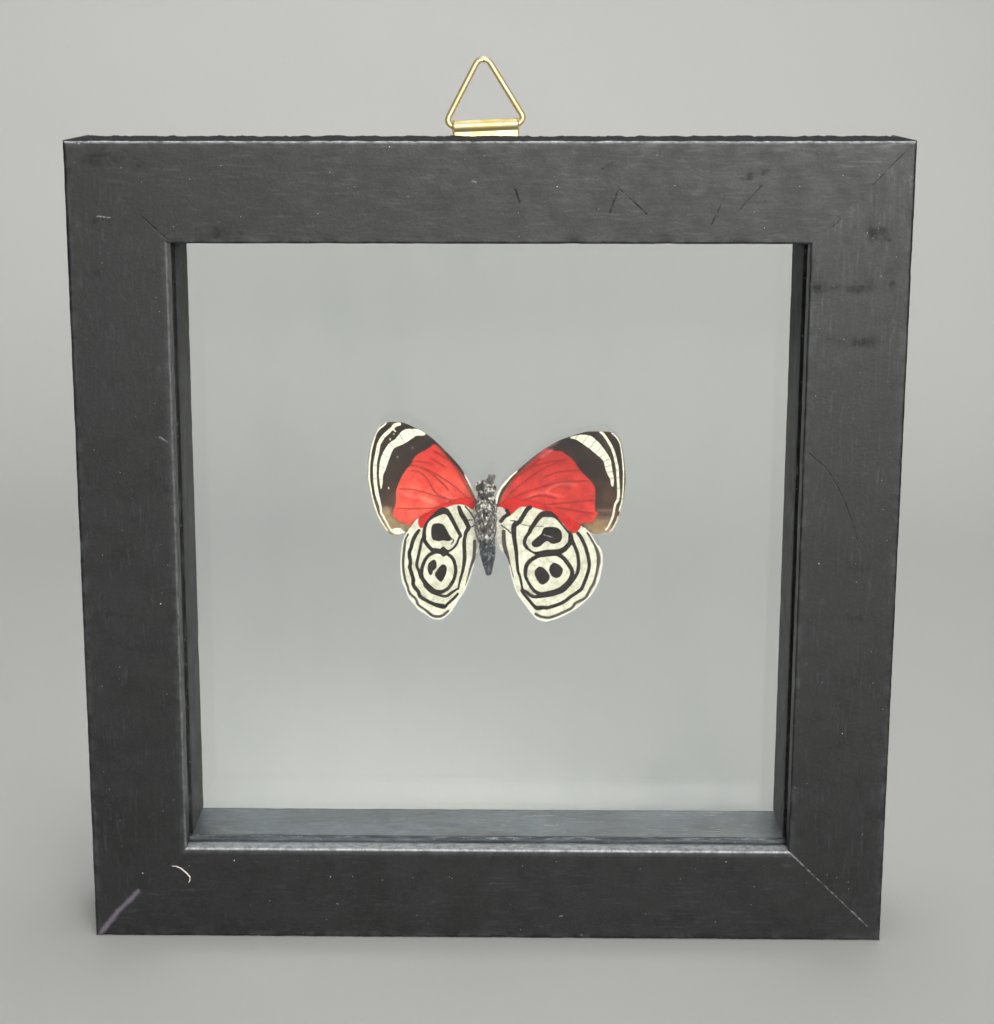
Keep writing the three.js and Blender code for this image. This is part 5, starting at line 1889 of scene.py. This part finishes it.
# %% [markdown]
# The hair is combed down over the thorax and up over the head. On the tail it is short, broad
# and pressed flat, as the scales there are. Legs and palps get a finer down of their own.

# %% Grow the hair
def add_hair():
    """All hairs as one piece, with their tones."""
    rng = np.random.default_rng(88)
    place, out = random_roots(skin, skin_faces, HAIRS, rng)
    on_tail = place[:, 2] < 0.2
    on_head = place[:, 2] > 7.0
    comb = np.where(on_head[:, None], [0.0, -0.35, 0.45], [0.0, -0.1, -0.7])
    ways = out * np.where(on_tail, 0.28, 0.85)[:, None] + comb + rng.normal(0, 0.28, out.shape)
    lengths = np.where(on_tail, rng.uniform(0.18, 0.3, HAIRS), rng.uniform(0.25, 0.62, HAIRS))
    widths = np.where(on_tail, 0.11, 0.07)
    coat = blades(place, ways, lengths, widths, np.array([0, 0.08, -0.15]), rng)
    tufts = tuft_tone(place, rng)
    tail_tones = 0.45 * tufts + 0.55 * rng.random(HAIRS) ** 2
    tones = np.where(on_tail, tail_tones, tufts)
    place, out = random_roots(*limbs, LIMB_HAIRS, rng)
    ways = out + rng.normal(0, 0.5, out.shape)
    down = blades(place, ways, rng.uniform(0.12, 0.35, LIMB_HAIRS), np.full(LIMB_HAIRS, 0.045),
                  np.zeros(3), rng)
    hair = add_piece("body_hair", *joined([coat, down]), hair_finish(), "body_hair")
    mark_points(hair, "tone", np.repeat(np.r_[tones, rng.uniform(0.1, 0.75, LIMB_HAIRS)], 5))


add_hair()

# %% [markdown]
# Clear glue holds the back of the thorax to the back pane. It set as a squat blob, wider on
# the glass, so it is turned like a pot on a wheel, with a little unevenness. It is nearly as
# clear as the pane.

# %% Blob of clear glue
def add_glue():
    """The blob, as circles from the thorax back to the pane. near and far are their depths."""
    glue = Finish("clear_glue")
    milky = glue.ramp(glue.noise(1.0, 4), 0.4, 0.7)
    glue.set(Base_Color=glue.mix(milky, "#f4f2ea", "#e2dccb"), Transmission_Weight=0.85, IOR=1.45,
             Roughness=glue.ramp(milky, 0, 1, 0.08, 0.3))
    glue.bump(glue.noise(0.5, 3), 0.05)
    near, far = 16.45, 18.88
    profile = [(0.02, near), (0.9, near + 0.02), (1.1, near + 0.35), (1.15, near + 0.9),
               (1.3, near + 1.5), (1.6, near + 2.0), (1.85, far - 0.12), (1.88, far), (0.02, far)]
    profile = smooth_line(np.array(profile), spacing=0.14)
    sides = 40
    points = []
    for radius, depth in profile:
        for cos, sin in around(sides):
            uneven = 1 + 0.12 * noise.noise(Vector((cos, sin, depth * 0.4)) * 1.3)
            points.append((THORAX_MIDDLE[0] + radius * uneven * cos, min(depth, far),
                           THORAX_MIDDLE[2] + radius * uneven * sin))
    faces = faces_between(len(profile), sides) + end_faces(len(profile), sides)
    add_piece("glue_blob", points, faces, glue.material, "clear_glue", ["glue_dab"])


add_glue()

# %% [markdown]
# One pale curled fibre clings to the front of the frame near its lower left corner. It is a
# real thread, so it is a thin tube that touches the paint, thinner at both ends.

# %% Curled fibre
FIBRE = [(-50.8, -0.09, -51.4), (-50.1, -0.12, -51.35), (-49.3, -0.14, -51.7), (-48.4, -0.12, -52.5),
         (-47.85, -0.1, -53.2), (-47.9, -0.09, -53.9), (-48.5, -0.08, -54.6)]
SUNK = 0.17


def add_fibre():
    """The thread, sunk back until it touches the paint."""
    lint = Finish("pale_lint")
    lint.set(Base_Color=lint.mix(lint.noise(0.4, 3), "#e8e4da", "#c9c3b6"), Roughness=0.8,
             Sheen_Weight=0.3)
    lint.bump(lint.noise(0.08, 2), 0.02)
    line = even_steps(np.array(FIBRE)[:, [0, 2, 1]], 0.12)[:, [0, 2, 1]]
    t = np.linspace(0, 1, len(line))
    radii = 0.13 * (0.45 + 0.55 * np.sin(math.pi * t)) * (1 + 0.12 * np.sin(t * 40))
    points, faces = tube(line, radii, 8)
    add_piece("curled_fibre", np.array(points) + [0, SUNK, 0], faces, lint.material, "body_hair")


add_fibre()
